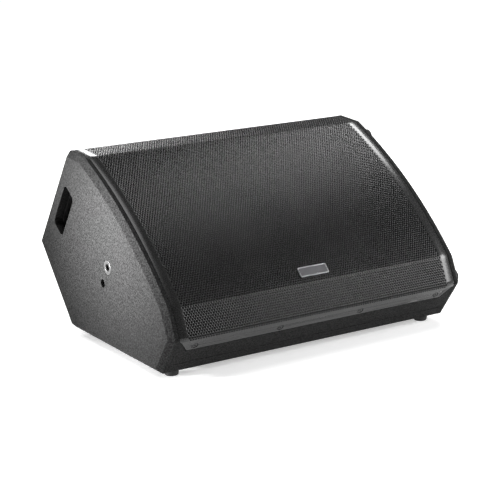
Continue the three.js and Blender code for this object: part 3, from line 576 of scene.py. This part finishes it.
def extruded(name, outline, low, high, placing):
    """A prism of an outline in XY between two heights."""
    count = len(outline)
    points = [(x, y, low) for x, y in outline] + [(x, y, high) for x, y in outline]
    faces = [list(range(count)), list(range(count, 2 * count))]
    for i in range(count):
        after = (i + 1) % count
        faces.append([i, after, count + after, count + i])
    return mesh_of(name, points, faces, placing)


def rounded_rectangle(width, height, radius, steps=6, centre=(0, 0), turn=0.0):
    """An outline in XY, with its corners made of steps, turned about its middle."""
    outline = []
    for quarter in range(4):
        angle = quarter * math.pi / 2
        x = (width / 2 - radius) * (1 if quarter in (0, 3) else -1)
        y = (height / 2 - radius) * (1 if quarter in (0, 1) else -1)
        for i in range(steps + 1):
            here = angle + math.pi / 2 * i / steps
            outline.append(Vector((x + radius * math.cos(here), y + radius * math.sin(here))))
    spin = Matrix.Rotation(turn, 2)
    return [spin @ point + Vector(centre) for point in outline]


def circle(radius, sides=SMOOTH_SIDES, centre=(0, 0)):
    outline = []
    for i in range(sides):
        angle = 2 * math.pi * i / sides
        outline.append(Vector((radius * math.cos(angle), radius * math.sin(angle))) + Vector(centre))
    return outline


def carved(mesh, *cutters):
    """The mesh with the cutter meshes taken out of it."""
    piece = bpy.data.objects.new("carved", mesh)
    bpy.context.scene.collection.objects.link(piece)
    tools = []
    for cutter in cutters:
        tool = bpy.data.objects.new("cutter", cutter)
        bpy.context.scene.collection.objects.link(tool)
        boolean = piece.modifiers.new("cut", "BOOLEAN")
        boolean.operation = "DIFFERENCE"
        boolean.solver = "EXACT"
        boolean.object = tool
        tools.append(tool)
    graph = bpy.context.evaluated_depsgraph_get()
    result = bpy.data.meshes.new_from_object(piece.evaluated_get(graph))
    for spare in (piece, *tools):
        bpy.data.objects.remove(spare)
    result.materials.clear()
    return result


def refined(node, width_mm):
    """A copy of a CAD node's shape with its edges rounded, standing for the node."""
    work = bmesh.new()
    work.from_mesh(frame["nodes"][node].data)
    bmesh.ops.remove_doubles(work, verts=work.verts, dist=WELD * MM)
    bmesh.ops.dissolve_limit(
        work, angle_limit=math.radians(FLAT_DEGREES), verts=work.verts, edges=work.edges
    )
    mesh = bpy.data.meshes.new(node)
    work.to_mesh(mesh)
    work.free()
    piece = shown(f"{node}_shown", mesh, slot_of[node], body_of[node], [node])
    return softened(piece, width_mm)


# ---------------------------------------------------------------- side view


def front_arc(steps):
    """The main front, from its top to the lip, outwards of the straight line between them."""
    half = (TOP_FRONT - LIP).length / 2
    radius = (half * half + FRONT_BULGE * FRONT_BULGE) / (2 * FRONT_BULGE)
    along = (LIP - TOP_FRONT).normalized()
    outward = Vector((along.y, -along.x))
    centre = (TOP_FRONT + LIP) / 2 + outward * (FRONT_BULGE - radius)
    reach = math.asin(half / radius)
    points = []
    for i in range(steps + 1):
        angle = reach * (2 * i / steps - 1)
        points.append(centre + (along * math.sin(angle) + outward * math.cos(angle)) * radius)
    return points


def inset(outline, depth):
    """A closed outline with every edge moved inwards by a depth."""
    count = len(outline)
    lines = []
    for i in range(count):
        along = (outline[(i + 1) % count] - outline[i]).normalized()
        inward = Vector((-along.y, along.x))
        lines.append((outline[i] + inward * depth, along))
    moved = []
    for i in range(count):
        start, along = lines[i - 1]
        other, other_along = lines[i]
        turn = along.x * other_along.y - along.y * other_along.x
        gap = other - start
        moved.append(start + along * ((gap.x * other_along.y - gap.y * other_along.x) / turn))
    return moved


# ---------------------------------------------------------------- side panels, handles, inserts

OUTLINE = [BOTTOM_FRONT, BOTTOM_REAR, REAR_CORNER, TOP_REAR, *front_arc(FRONT_STEPS), NOSE]
FACE = inset(OUTLINE, CHAMFER_DEPTH)
rear_along = (TOP_REAR - REAR_CORNER).normalized()
rear_inward = Vector((-rear_along.y, rear_along.x))
HANDLE_CENTRE = (REAR_CORNER + TOP_REAR) / 2 + rear_along * HANDLE_SHIFT + rear_inward * HANDLE_DEPTH
HANDLE_TURN = math.atan2(rear_along.y, rear_along.x)


def panel_mesh(side):
    """A chamfered side panel with its handle slot, bracket bore and locating hole."""
    rings = ((-BOARD, OUTLINE), (-CHAMFER_WIDTH, OUTLINE), (0, FACE))
    count = len(OUTLINE)
    points = [(point.x, point.y, level) for level, ring in rings for point in ring]
    faces = [list(range(count)), list(range(2 * count, 3 * count))]
    for level in range(2):
        for i in range(count):
            here = level * count + i
            after = level * count + (i + 1) % count
            faces.append([here, after, after + count, here + count])
    placing = across(side)
    slot = rounded_rectangle(
        HANDLE_LENGTH,
        HANDLE_WIDTH,
        HANDLE_RADIUS,
        steps=8,
        centre=HANDLE_CENTRE,
        turn=HANDLE_TURN,
    )
    flange_bore = circle(BRACKET_FLANGE + BRACKET_FLANGE_PLAY, centre=BRACKET)
    barrel_bore = circle(BRACKET_BARREL + BRACKET_BARREL_PLAY, centre=BRACKET)
    bores = (
        (slot, -BOARD - 1),
        (flange_bore, -BRACKET_LIP - BRACKET_FLANGE_PLAY),
        (barrel_bore, -BOARD - 1),
        (circle(LOCATING_RADIUS, centre=LOCATING), -LOCATING_DEPTH),
    )
    cutters = [extruded("bore", outline, low, 1, placing) for outline, low in bores]
    return carved(mesh_of("panel", points, faces, placing), *cutters)


for side, word in ((-1, "left"), (1, "right")):
    node = f"side_panel_{word}"
    panel = shown(f"{node}_shown", panel_mesh(side), "textured_paint", nodes=[node])
    softened(panel, ARRIS, segments=3)
    insert = lathed(
        "insert",
        [
            (BRACKET_BORE, -BRACKET_LENGTH),
            (BRACKET_BARREL, -BRACKET_LENGTH),
            (BRACKET_BARREL, -BRACKET_LIP),
            (BRACKET_FLANGE - 0.2, -BRACKET_LIP),
            (BRACKET_FLANGE, -0.6),
            (BRACKET_FLANGE - 0.6, 0),
            (BRACKET_BORE + 1.2, 0),
            (BRACKET_BORE, -1.2),
        ],
        across(side) @ Matrix.Translation((BRACKET.x, BRACKET.y, 0)),
    )
    node = f"bracket_insert_{word}"
    softened(shown(f"{node}_shown", insert, "screw_black", nodes=[node]), INSERT_ARRIS)
    refined(f"handle_cup_{word}", HANDLE_ARRIS)

for node in ("bottom_panel", "rear_lower_panel", "rear_upper_panel", "front_lower_panel"):
    refined(node, ARRIS)

# ---------------------------------------------------------------- grille


def rounded_path(corners, reach):
    """A polyline with each marked corner replaced by a short curve. Items: (point, is a fold)."""
    points = []
    for i, (point, fold) in enumerate(corners):
        if not fold:
            points.append(point)
            continue
        before = (corners[i - 1][0] - point).normalized() * reach + point
        after = (corners[i + 1][0] - point).normalized() * reach + point
        for step in range(FOLD_STEPS + 1):
            share = step / FOLD_STEPS
            middle = point * 2 * share * (1 - share)
            points.append(before * (1 - share) ** 2 + middle + after * share * share)
    return points


lower_along = (BOTTOM_FRONT - NOSE).normalized()
FLANGE_END = NOSE + lower_along * FLANGE
PATH = rounded_path(
    [
        (TOP_REAR, False),
        (TOP_FRONT, True),
        *[(point, False) for point in front_arc(FRONT_STEPS)[1:-1]],
        (LIP, True),
        (NOSE, True),
        (FLANGE_END, False),
    ],
    FOLD,
)
LENGTHS = [0.0]
for start, end in zip(PATH, PATH[1:]):
    LENGTHS.append(LENGTHS[-1] + (end - start).length)
NOSE_LENGTH = LENGTHS[-1] - FLANGE


def on_grille(x, length, depth=0.0):
    """The cabinet point at a length along the folded sheet, at a depth below its outer face."""
    i = min(max(bisect.bisect_right(LENGTHS, length), 1), len(PATH) - 1)
    along = (PATH[i] - PATH[i - 1]).normalized()
    place = PATH[i - 1] + along * (length - LENGTHS[i - 1])
    inward = Vector((-along.y, along.x))
    place = place + inward * depth
    return Vector((x, place.x, place.y))


LAST_LENGTH = NOSE_LENGTH + LAST_ROW
# Lines between the rows of perforations, as lengths along the sheet.
LINES = [LAST_LENGTH + ROW_PITCH / 2 - ROW_PITCH * (ROWS - i) for i in range(ROWS + 1)]
# A side edge and a perforation from the outer face inwards: (half width or radius, depth).
EDGE_STOPS = ((GRILLE_HALF - ROLLED_EDGE, 0), (GRILLE_HALF, ROLLED_EDGE), (GRILLE_HALF, SHEET))
HOLE_RINGS = (
    (HOLE_RADIUS + HOLE_LIP, 0),
    (HOLE_RADIUS, HOLE_LIP_DEPTH),
    (HOLE_RADIUS, HOLE_DEPTH),
)


def perforated(name, first_row, last_row):
    """Rows of the sheet with their holes, plain borders and rolled side edges."""
    points = []
    faces = []

    def add(x, length, depth=0.0):
        points.append(CABINET @ on_grille(x, length, depth))
        return len(points) - 1

    grid = []
    edges = []
    for length in LINES[first_row : last_row + 1]:
        grid.append([add(n * PITCH / 2, length) for n in range(-COLUMNS, COLUMNS + 1)])
        edges.append([[add(end * x, length, depth) for x, depth in EDGE_STOPS] for end in (-1, 1)])
    for i, row in enumerate(range(first_row, last_row)):
        low, high = grid[i], grid[i + 1]
        middle = (LINES[row] + LINES[row + 1]) / 2
        shift = row % 2
        for column in range(1 + shift, 2 * COLUMNS - shift, 2):
            x = (column - COLUMNS) * PITCH / 2
            before, after = column - 1, column + 1
            rings = []
            for radius, depth in HOLE_RINGS:
                ring = []
                for corner in range(HOLE_SIDES):
                    angle = 2 * math.pi * corner / HOLE_SIDES
                    along = middle + radius * math.sin(angle)
                    ring.append(add(x + radius * math.cos(angle), along, depth))
                rings.append(ring)
            rim = rings[0]
            faces += [
                [high[after], high[column], rim[2], rim[1]],
                [high[column], high[before], rim[3], rim[2]],
                [high[before], low[before], rim[5], rim[4], rim[3]],
                [low[before], low[column], rim[6], rim[5]],
                [low[column], low[after], rim[7], rim[6]],
                [low[after], high[after], rim[1], rim[0], rim[7]],
            ]
            for upper, lower in zip(rings, rings[1:]):
                for corner in range(HOLE_SIDES):
                    beyond = (corner + 1) % HOLE_SIDES
                    faces.append([upper[corner], upper[beyond], lower[beyond], lower[corner]])
        left_ends = range(0, shift + 1)
        right_ends = range(2 * COLUMNS, 2 * COLUMNS - shift - 1, -1)
        for end, columns in enumerate((left_ends, right_ends)):
            near, far = edges[i][end], edges[i + 1][end]
            border = [near[0]]
            border += [low[column] for column in columns]
            border += [high[column] for column in reversed(columns)]
            border.append(far[0])
            faces.append(border[::-1] if end else border)
            for stop in range(len(EDGE_STOPS) - 1):
                quad = [near[stop], far[stop], far[stop + 1], near[stop + 1]]
                faces.append(quad[::-1] if end else quad)
    mesh = bpy.data.meshes.new(name)
    mesh.from_pydata(points, [], faces)
    return smooth(mesh, HOLE_SHARP_DEGREES)


for first_row in range(0, ROWS, CHUNK_ROWS):
    last_row = min(first_row + CHUNK_ROWS, ROWS)
    name = f"grille_rows_{first_row // CHUNK_ROWS + 1}"
    shown(name, perforated(name, first_row, last_row), "grille_steel")
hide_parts("grille")

# The plain flange below the nose, with cut corners and a dimple round each screw.
flange_top = LAST_ROW + ROW_PITCH / 2
flange_outline = []
for sign, drops in ((1, (flange_top, FLANGE)), (-1, (FLANGE, flange_top))):
    for drop in drops:
        flange_outline.append((sign * (GRILLE_HALF - FLANGE_CORNER * drop / FLANGE), -drop))
flange = extruded("flange", flange_outline, -SHEET, 0, FLANGE_FRAME)
dimples = []
for x in SCREW_XS:
    profile = [
        (0, -SHEET - 1),
        (DIMPLE_FLOOR_RADIUS, -SHEET - 1),
        (DIMPLE_FLOOR_RADIUS, -DIMPLE_DEPTH),
        (DIMPLE - DIMPLE_LIP, -DIMPLE_LIP),
        (DIMPLE, 0),
        (DIMPLE, 1),
        (0, 1),
    ]
    placing = FLANGE_FRAME @ Matrix.Translation((x, -SCREW_DROP, 0))
    dimples.append(lathed("dimple", profile, placing))
flange_piece = shown("grille_flange", carved(flange, *dimples), "grille_steel")
softened(flange_piece, FLANGE_ARRIS)

# Black cloth behind the two flat facets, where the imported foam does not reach.
cloth_half = GRILLE_HALF - CLOTH_SIDE_MARGIN
top_facet = (TOP_FRONT - TOP_REAR).length
lip_facet = (NOSE - LIP).length
for word, start, end in (
    ("top", CLOTH_MARGIN, top_facet - CLOTH_MARGIN),
    ("lip", NOSE_LENGTH - lip_facet + CLOTH_MARGIN, NOSE_LENGTH - CLOTH_MARGIN),
):
    ring = ((-cloth_half, start), (cloth_half, start), (cloth_half, end), (-cloth_half, end))
    corners = [on_grille(x, length, depth) for depth in CLOTH_LEVELS for x, length in ring]
    faces = [(0, 1, 2, 3), (4, 5, 6, 7), (0, 1, 5, 4), (1, 2, 6, 5), (2, 3, 7, 6), (3, 0, 4, 7)]
    shown(f"grille_cloth_{word}", mesh_of("cloth", corners, faces, CABINET), "acoustic_foam")

for i, x in enumerate(SCREW_XS):
    head = lathed(
        "head",
        [
            (0, -SCREW_LENGTH),
            (SCREW_SHANK, -SCREW_LENGTH),
            (SCREW_SHANK, -SCREW_SEAT),
            (SCREW_HEAD, -SCREW_SEAT),
            (SCREW_HEAD, -0.9),
            (SCREW_HEAD - 0.8, -0.25),
            (SCREW_HEAD - 1.6, 0),
            (SCREW_SOCKET, 0),
            (SCREW_SOCKET - 0.1, -SCREW_SOCKET_DEPTH),
            (0, -SCREW_SOCKET_DEPTH),
        ],
        FLANGE_FRAME @ Matrix.Translation((x, -SCREW_DROP, 0)),
        SMALL_SIDES,
    )
    node = f"grille_screw_{i + 1}"
    shown(f"{node}_shown", smooth(head), "screw_black", nodes=[node])

# ---------------------------------------------------------------- badge and feet

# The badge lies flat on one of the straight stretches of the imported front.
packed_arc = front_arc(PACKED_STEPS)
below_badge = next(i for i, point in enumerate(packed_arc) if point.x < BADGE_BEHIND_NOSE)
badge_start = packed_arc[below_badge - 1]
badge_slope = (packed_arc[below_badge] - badge_start).normalized()
badge_reach = (BADGE_BEHIND_NOSE - badge_start.x) / badge_slope.x
BADGE = sloped(badge_start + badge_slope * badge_reach, -badge_slope, -1)
badge_top = BADGE_GAP + BADGE_THICK
rim_outline = rounded_rectangle(BADGE_WIDTH, BADGE_HEIGHT, BADGE_RADIUS)
field_outline = rounded_rectangle(
    BADGE_WIDTH - 2 * BADGE_RIM, BADGE_HEIGHT - 2 * BADGE_RIM, BADGE_RADIUS - BADGE_RIM / 2
)
rim = carved(
    extruded("rim", rim_outline, BADGE_GAP, badge_top, BADGE),
    extruded("field", field_outline, badge_top - BADGE_RIM / 2, badge_top + 1, BADGE),
)
softened(shown("badge_shown", rim, "badge_metal", nodes=["badge"]), BADGE_ARRIS)
field = extruded("field", field_outline, badge_top - 1, badge_top - BADGE_RIM / 4, BADGE)
softened(shown("badge_field", field, "pole_steel"), BADGE_FIELD_ARRIS)

for row, y in FOOT_YS.items():
    for word, x in (("left", -FOOT_X), ("right", FOOT_X)):
        profile = [
            (0, -FOOT_BORE_FLOOR),
            (FOOT_BORE, -FOOT_BORE_FLOOR),
            (FOOT_BORE, -FOOT_HEIGHT),
            (FOOT_RADIUS - 2.2, -FOOT_HEIGHT),
            (FOOT_RADIUS - 1.5, -FOOT_HEIGHT + 0.8),
            (FOOT_RADIUS, 0),
            (0, 0),
        ]
        foot = lathed("foot", profile, CABINET @ Matrix.Translation((x, y, 0)))
        node = f"foot_{row}_{word}"
        shown(f"{node}_shown", smooth(foot), "foot_rubber", nodes=[node])
for word, place in SIDE_FOOT_PLACES.items():
    profile = [
        (0, 0),
        (FOOT_RADIUS, 0),
        (FOOT_RADIUS, SIDE_FOOT_HEIGHT - SIDE_FOOT_ROUND),
        (FOOT_RADIUS - SIDE_FOOT_ROUND, SIDE_FOOT_HEIGHT),
        (FOOT_BORE, SIDE_FOOT_HEIGHT),
        (FOOT_BORE, SIDE_FOOT_BORE_FLOOR),
        (0, SIDE_FOOT_BORE_FLOOR),
    ]
    foot = lathed("foot", profile, across(1) @ Matrix.Translation((place.x, place.y, 0)))
    node = f"side_foot_{word}"
    shown(f"{node}_shown", smooth(foot), "foot_rubber", nodes=[node])

# ---------------------------------------------------------------- rear panel

PLATE = -AMP_SET_BACK  # outer face of the amplifier's plate, below the cabinet's rear face
PLATE_BACK = PLATE - AMP_PLATE


def at_rear(place):
    """The rear face's frame moved to a place on that face."""
    return REAR @ Matrix.Translation((place.x, place.y, 0))


def merged(name, *meshes):
    """One mesh made of several."""
    work = bmesh.new()
    for mesh in meshes:
        work.from_mesh(mesh)
    made = bpy.data.meshes.new(name)
    work.to_mesh(made)
    work.free()
    return made


for node, width_mm in REAR_ARRISES.items():
    refined(node, width_mm)

plate_screws = []
plate_screw_x = AMP_WIDTH / 2 - PLATE_SCREW_MARGIN
plate_screw_y = AMP_HEIGHT / 2 - PLATE_SCREW_MARGIN
for x in (-1, -0.5, 0, 0.5, 1):
    for y in (-1, 1):
        place = Vector((x * plate_screw_x, y * plate_screw_y))
        profile = [
            (0, PLATE - 2),
            (PLATE_SCREW_SHANK, PLATE - 2),
            (PLATE_SCREW_SHANK, PLATE),
            (PLATE_SCREW_HEAD, PLATE),
            (PLATE_SCREW_HEAD, PLATE + PLATE_SCREW_RIM),
            (PLATE_SCREW_HEAD - 0.8, PLATE + 1.4),
            (PLATE_SCREW_SOCKET + 0.1, PLATE + PLATE_SCREW_RISE),
            (PLATE_SCREW_SOCKET, PLATE + PLATE_SCREW_RIM),
            (0, PLATE + PLATE_SCREW_RIM),
        ]
        plate_screws.append(lathed("screw", profile, at_rear(place), SMALL_SIDES))
shown("amp_panel_screws", smooth(merged("screws", *plate_screws)), "screw_black")

FLANGE_TOP = PLATE + CONNECTOR_FLANGE
WELL_FLOOR = PLATE - CONNECTOR_DEPTH + 2
SHELL_BACK = PLATE - CONNECTOR_DEPTH - 2


def socket_shell(place, latched):
    """A flange with a screw hole in each of two opposite corners, and a round well behind it."""
    placing = at_rear(place)
    outline = rounded_rectangle(CONNECTOR_WIDTH, CONNECTOR_TALL, CONNECTOR_CORNER)
    flange = extruded("flange", outline, PLATE, FLANGE_TOP, placing)
    cutters = [extruded("cut", circle(SOCKET_RADIUS + 0.6), PLATE - 1, 0, placing)]
    hole_x = CONNECTOR_WIDTH / 2 - CONNECTOR_HOLE_MARGIN
    hole_y = CONNECTOR_TALL / 2 - CONNECTOR_HOLE_MARGIN
    for sign in (-1, 1):
        hole = circle(CONNECTOR_HOLE, CONNECTOR_HOLE_SIDES, (sign * hole_x, sign * hole_y))
        cutters.append(extruded("cut", hole, PLATE - 1, 0, placing))
    if latched:
        recess = rounded_rectangle(*LATCH_RECESS, LATCH_CORNER, centre=(0, LATCH_RISE))
        cutters.append(extruded("cut", recess, PLATE - 1, 0, placing))
    well = lathed(
        "well",
        [
            (0, SHELL_BACK),
            (BARREL_RADIUS, SHELL_BACK),
            (BARREL_RADIUS - 0.5, PLATE + 0.3),
            (SOCKET_RADIUS + 0.9, PLATE + 0.3),
            (SOCKET_RADIUS + 0.7, FLANGE_TOP),
            (SOCKET_RADIUS + 0.3, FLANGE_TOP + 0.3),
            (SOCKET_RADIUS, FLANGE_TOP - 0.2),
            (SOCKET_RADIUS, WELL_FLOOR),
            (0, WELL_FLOOR),
        ],
        placing,
    )
    return [carved(flange, *cutters), well]


pin_places = []
for degrees in PIN_ANGLES:
    angle = math.radians(degrees)
    pin_places.append(Vector((PIN_CIRCLE * math.cos(angle), PIN_CIRCLE * math.sin(angle))))

# The input's core stands in its well, with a wide bore in the middle and three for the plug's pins.
core_top = PLATE - CORE_TIP
core = extruded("core", circle(CORE_RADIUS), WELL_FLOOR - 1, core_top, at_rear(INPUT))
core_bores = [extruded("bore", circle(CORE_BORE, SMALL_SIDES), WELL_FLOOR, 0, at_rear(INPUT))]
for centre in pin_places:
    bore = circle(PIN_BORE, TINY_SIDES, centre)
    core_bores.append(extruded("bore", bore, WELL_FLOOR + 2, 0, at_rear(INPUT)))
input_mesh = merged("input", *socket_shell(INPUT, True), carved(core, *core_bores))
input_piece = shown(
    "input_connector_shown", input_mesh, "connector_plastic", nodes=["input_connector"]
)
softened(input_piece, CONNECTOR_ARRIS)

link_mesh = merged("link", *socket_shell(LINK, False))
link_piece = shown("link_connector_shown", link_mesh, "connector_plastic", nodes=["link_connector"])
softened(link_piece, CONNECTOR_ARRIS)
link_pins = []
for centre in pin_places:
    profile = [
        (0, WELL_FLOOR - 1),
        (PIN_RADIUS, WELL_FLOOR - 1),
        (PIN_RADIUS, PLATE - PIN_TIP - 0.6),
        (PIN_RADIUS - 0.6, PLATE - PIN_TIP),
        (0, PLATE - PIN_TIP),
    ]
    link_pins.append(lathed("pin", profile, at_rear(LINK + centre), TINY_SIDES))
shown("link_pins", smooth(merged("pins", *link_pins)), "pole_steel")

fluted = []
for i in range(KNOB_FLUTES * FLUTE_STEPS):
    angle = 2 * math.pi * i / (KNOB_FLUTES * FLUTE_STEPS)
    radius = KNOB_RADIUS - FLUTE_DEPTH * (1 - math.cos(angle * KNOB_FLUTES))
    fluted.append((radius * math.cos(angle), radius * math.sin(angle)))
knob_low = PLATE + KNOB_STANDOFF
knob_top = knob_low + KNOB_HEIGHT
knob_place = at_rear(LEVEL)
grip = extruded("grip", fluted, knob_low, knob_top - 1.2, knob_place)
cap_profile = [
    (0, knob_top - 1.4),
    (KNOB_CAP_RADIUS, knob_top - 1.4),
    (KNOB_CAP_RADIUS, knob_top - 0.5),
    (KNOB_CAP_RADIUS - 0.5, knob_top),
    (0, knob_top),
]
cap = lathed("cap", cap_profile, knob_place)
shaft_profile = [
    (0, SHAFT_END),
    (SHAFT_RADIUS, SHAFT_END),
    (SHAFT_RADIUS, knob_low + 1),
    (0, knob_low + 1),
]
shaft = lathed("shaft", shaft_profile, knob_place, SMALL_SIDES)
pointer_outline = rounded_rectangle(
    POINTER_WIDTH, POINTER_LENGTH, POINTER_CORNER, centre=(0, KNOB_RADIUS - 4)
)
pointer = extruded("pointer", pointer_outline, knob_top - 1, knob_top + POINTER_RISE, knob_place)
knob_mesh = merged("knob", grip, cap, shaft, pointer)
knob = shown("level_knob_shown", knob_mesh, "control_plastic", "knob", ["level_knob"])
softened(knob, KNOB_ARRIS)

# Raised dots round the level knob, from its lowest setting to its highest.
dots = []
for i in range(DIAL_DOTS):
    angle = math.radians(90 + DIAL_SWEEP * (1 - 2 * i / (DIAL_DOTS - 1)))
    place = LEVEL + Vector((math.cos(angle), math.sin(angle))) * (KNOB_RADIUS + DIAL_GAP)
    profile = [
        (0, PLATE - 0.5),
        (DIAL_DOT_RADIUS, PLATE - 0.5),
        (DIAL_DOT_RADIUS, PLATE + DIAL_DOT_RISE / 2),
        (DIAL_DOT_RADIUS - 0.2, PLATE + DIAL_DOT_RISE),
        (0, PLATE + DIAL_DOT_RISE),
    ]
    dots.append(lathed("dot", profile, at_rear(place), TINY_SIDES))
shown("dial_dots", smooth(merged("dots", *dots)), "badge_metal")

button_mesh = lathed(
    "button",
    [
        (0, PLATE_BACK - 5),
        (BUTTON_COLLAR, PLATE_BACK - 5),
        (BUTTON_COLLAR, PLATE_BACK - 2),
        (BUTTON_RADIUS, PLATE_BACK - 2),
        (BUTTON_RADIUS, PLATE + 2.2),
        (BUTTON_RADIUS - 0.4, PLATE + BUTTON_HEIGHT),
        (BUTTON_RADIUS - 1.2, PLATE + BUTTON_HEIGHT),
        (0, PLATE + BUTTON_HEIGHT - 0.4),
    ],
    at_rear(MODE),
)
shown("mode_button_shown", smooth(button_mesh), "control_plastic", "button", ["mode_button"])

lamp_mesh = lathed(
    "lamp",
    [
        (0, PLATE_BACK - 3),
        (LAMP_RADIUS, PLATE_BACK - 3),
        (LAMP_RADIUS, PLATE + 0.3),
        (LAMP_RADIUS - 0.3, PLATE + 0.7),
        (LAMP_RADIUS - 1, PLATE + 0.95),
        (0, PLATE + 1),
    ],
    at_rear(LAMP),
    SMALL_SIDES,
)
shown("power_lamp_shown", smooth(lamp_mesh), "lamp_lens", nodes=["power_lamp"])

# ---------------------------------------------------------------- camera, light, floor


def aimed(eye, forward, roll=0.0):
    """A placing that looks along forward from eye, level apart from the roll."""
    forward = forward.normalized()
    right = forward.cross(Vector((0, 0, 1))).normalized()
    up = right.cross(forward)
    rolled_right = right * math.cos(roll) + up * math.sin(roll)
    rolled_up = up * math.cos(roll) - right * math.sin(roll)
    basis = Matrix((rolled_right, rolled_up, -forward)).transposed().to_4x4()
    return Matrix.Translation(eye) @ basis


camera = bpy.data.objects.new("camera", bpy.data.cameras.new("camera"))
camera.data.lens = LENS
camera.data.clip_end = CLIP_END
forward = Vector(
    (
        math.sin(YAW) * math.cos(PITCH_DOWN),
        math.cos(YAW) * math.cos(PITCH_DOWN),
        -math.sin(PITCH_DOWN),
    )
)
camera.matrix_world = aimed(EYE, forward, ROLL)
bpy.context.scene.collection.objects.link(camera)
bpy.context.scene.camera = camera


def toward_light(azimuth, elevation):
    """The direction to a light in degrees: azimuth 0 is behind the object, 90 on its right."""
    turn, rise = math.radians(azimuth), math.radians(elevation)
    level = math.cos(rise)
    return Vector((math.sin(turn) * level, math.cos(turn) * level, math.sin(rise)))


def spotlight(name, target, azimuth, elevation, distance, cone, power):
    """A spot with a wholly soft edge, aimed at a target."""
    toward = toward_light(azimuth, elevation)
    data = bpy.data.lights.new(name, "SPOT")
    data.spot_size = math.radians(cone)
    data.spot_blend = 1
    data.shadow_soft_size = BEAM_SOURCE
    data.energy = power
    light = bpy.data.objects.new(name, data)
    light.matrix_world = aimed(target + toward * distance, -toward)
    bpy.context.scene.collection.objects.link(light)


def softbox(name, azimuth, elevation, distance, width, height, power):
    """An area light aimed at the middle of the object."""
    toward = toward_light(azimuth, elevation)
    data = bpy.data.lights.new(name, "AREA")
    data.shape = "RECTANGLE"
    data.size = width
    data.size_y = height
    data.energy = power
    light = bpy.data.objects.new(name, data)
    light.matrix_world = aimed(LIGHT_TARGET + toward * distance, -toward)
    bpy.context.scene.collection.objects.link(light)


def overhead(azimuth, elevation, spread, strength):
    """A wide, even light on the whole floor."""
    toward = toward_light(azimuth, elevation)
    data = bpy.data.lights.new("overhead", "SUN")
    data.angle = math.radians(spread)
    data.energy = strength
    light = bpy.data.objects.new("overhead", data)
    light.matrix_world = aimed(toward, -toward)
    bpy.context.scene.collection.objects.link(light)


overhead(azimuth=-70, elevation=72, spread=40, strength=1.8)
softbox("back_strip", azimuth=17, elevation=28, distance=2.5, width=0.45, height=0.6, power=14)
softbox("right_high", azimuth=64, elevation=42, distance=2.5, width=0.8, height=0.8, power=26)
softbox("right_front", azimuth=124, elevation=22, distance=2.6, width=1.3, height=0.8, power=55)
softbox("left_rear", azimuth=-44, elevation=32, distance=2.2, width=1.0, height=1.0, power=12)
spotlight("left_beam", BEAM_TARGET, azimuth=-68, elevation=5, distance=2, cone=12, power=3000)

world = bpy.data.worlds.new("studio")
world.use_nodes = True
background = world.node_tree.nodes["Background"]
background.inputs["Color"].default_value = (1, 1, 1, 1)
background.inputs["Strength"].default_value = WORLD_STRENGTH
bpy.context.scene.world = world
bpy.context.scene.view_settings.view_transform = "Standard"

floor_mesh = bpy.data.meshes.new("floor")
corners = [(-1, -1), (1, -1), (1, 1), (-1, 1)]
floor_points = [(x * FLOOR_REACH, y * FLOOR_REACH, 0) for x, y in corners]
floor_mesh.from_pydata(floor_points, [], [[0, 1, 2, 3]])
floor = bpy.data.objects.new("floor", floor_mesh)
bpy.context.scene.collection.objects.link(floor)
glow = {"Emission Color": (1, 1, 1, 1), "Emission Strength": FLOOR_GLOW}
floor_shader = Shader("floor", grey(0.9), 0.6, **glow)
floor_shader.tint(floor_shader.noise(scale=3, detail=2.0), grey(0.9), grey(0.92))
floor_mesh.materials.append(floor_shader.material)

# ---------------------------------------------------------------- CAD nodes that keep their shape

for node, piece in frame["nodes"].items():
    piece.data.materials.clear()
    piece.data.materials.append(FINISHES[slot_of[node]])
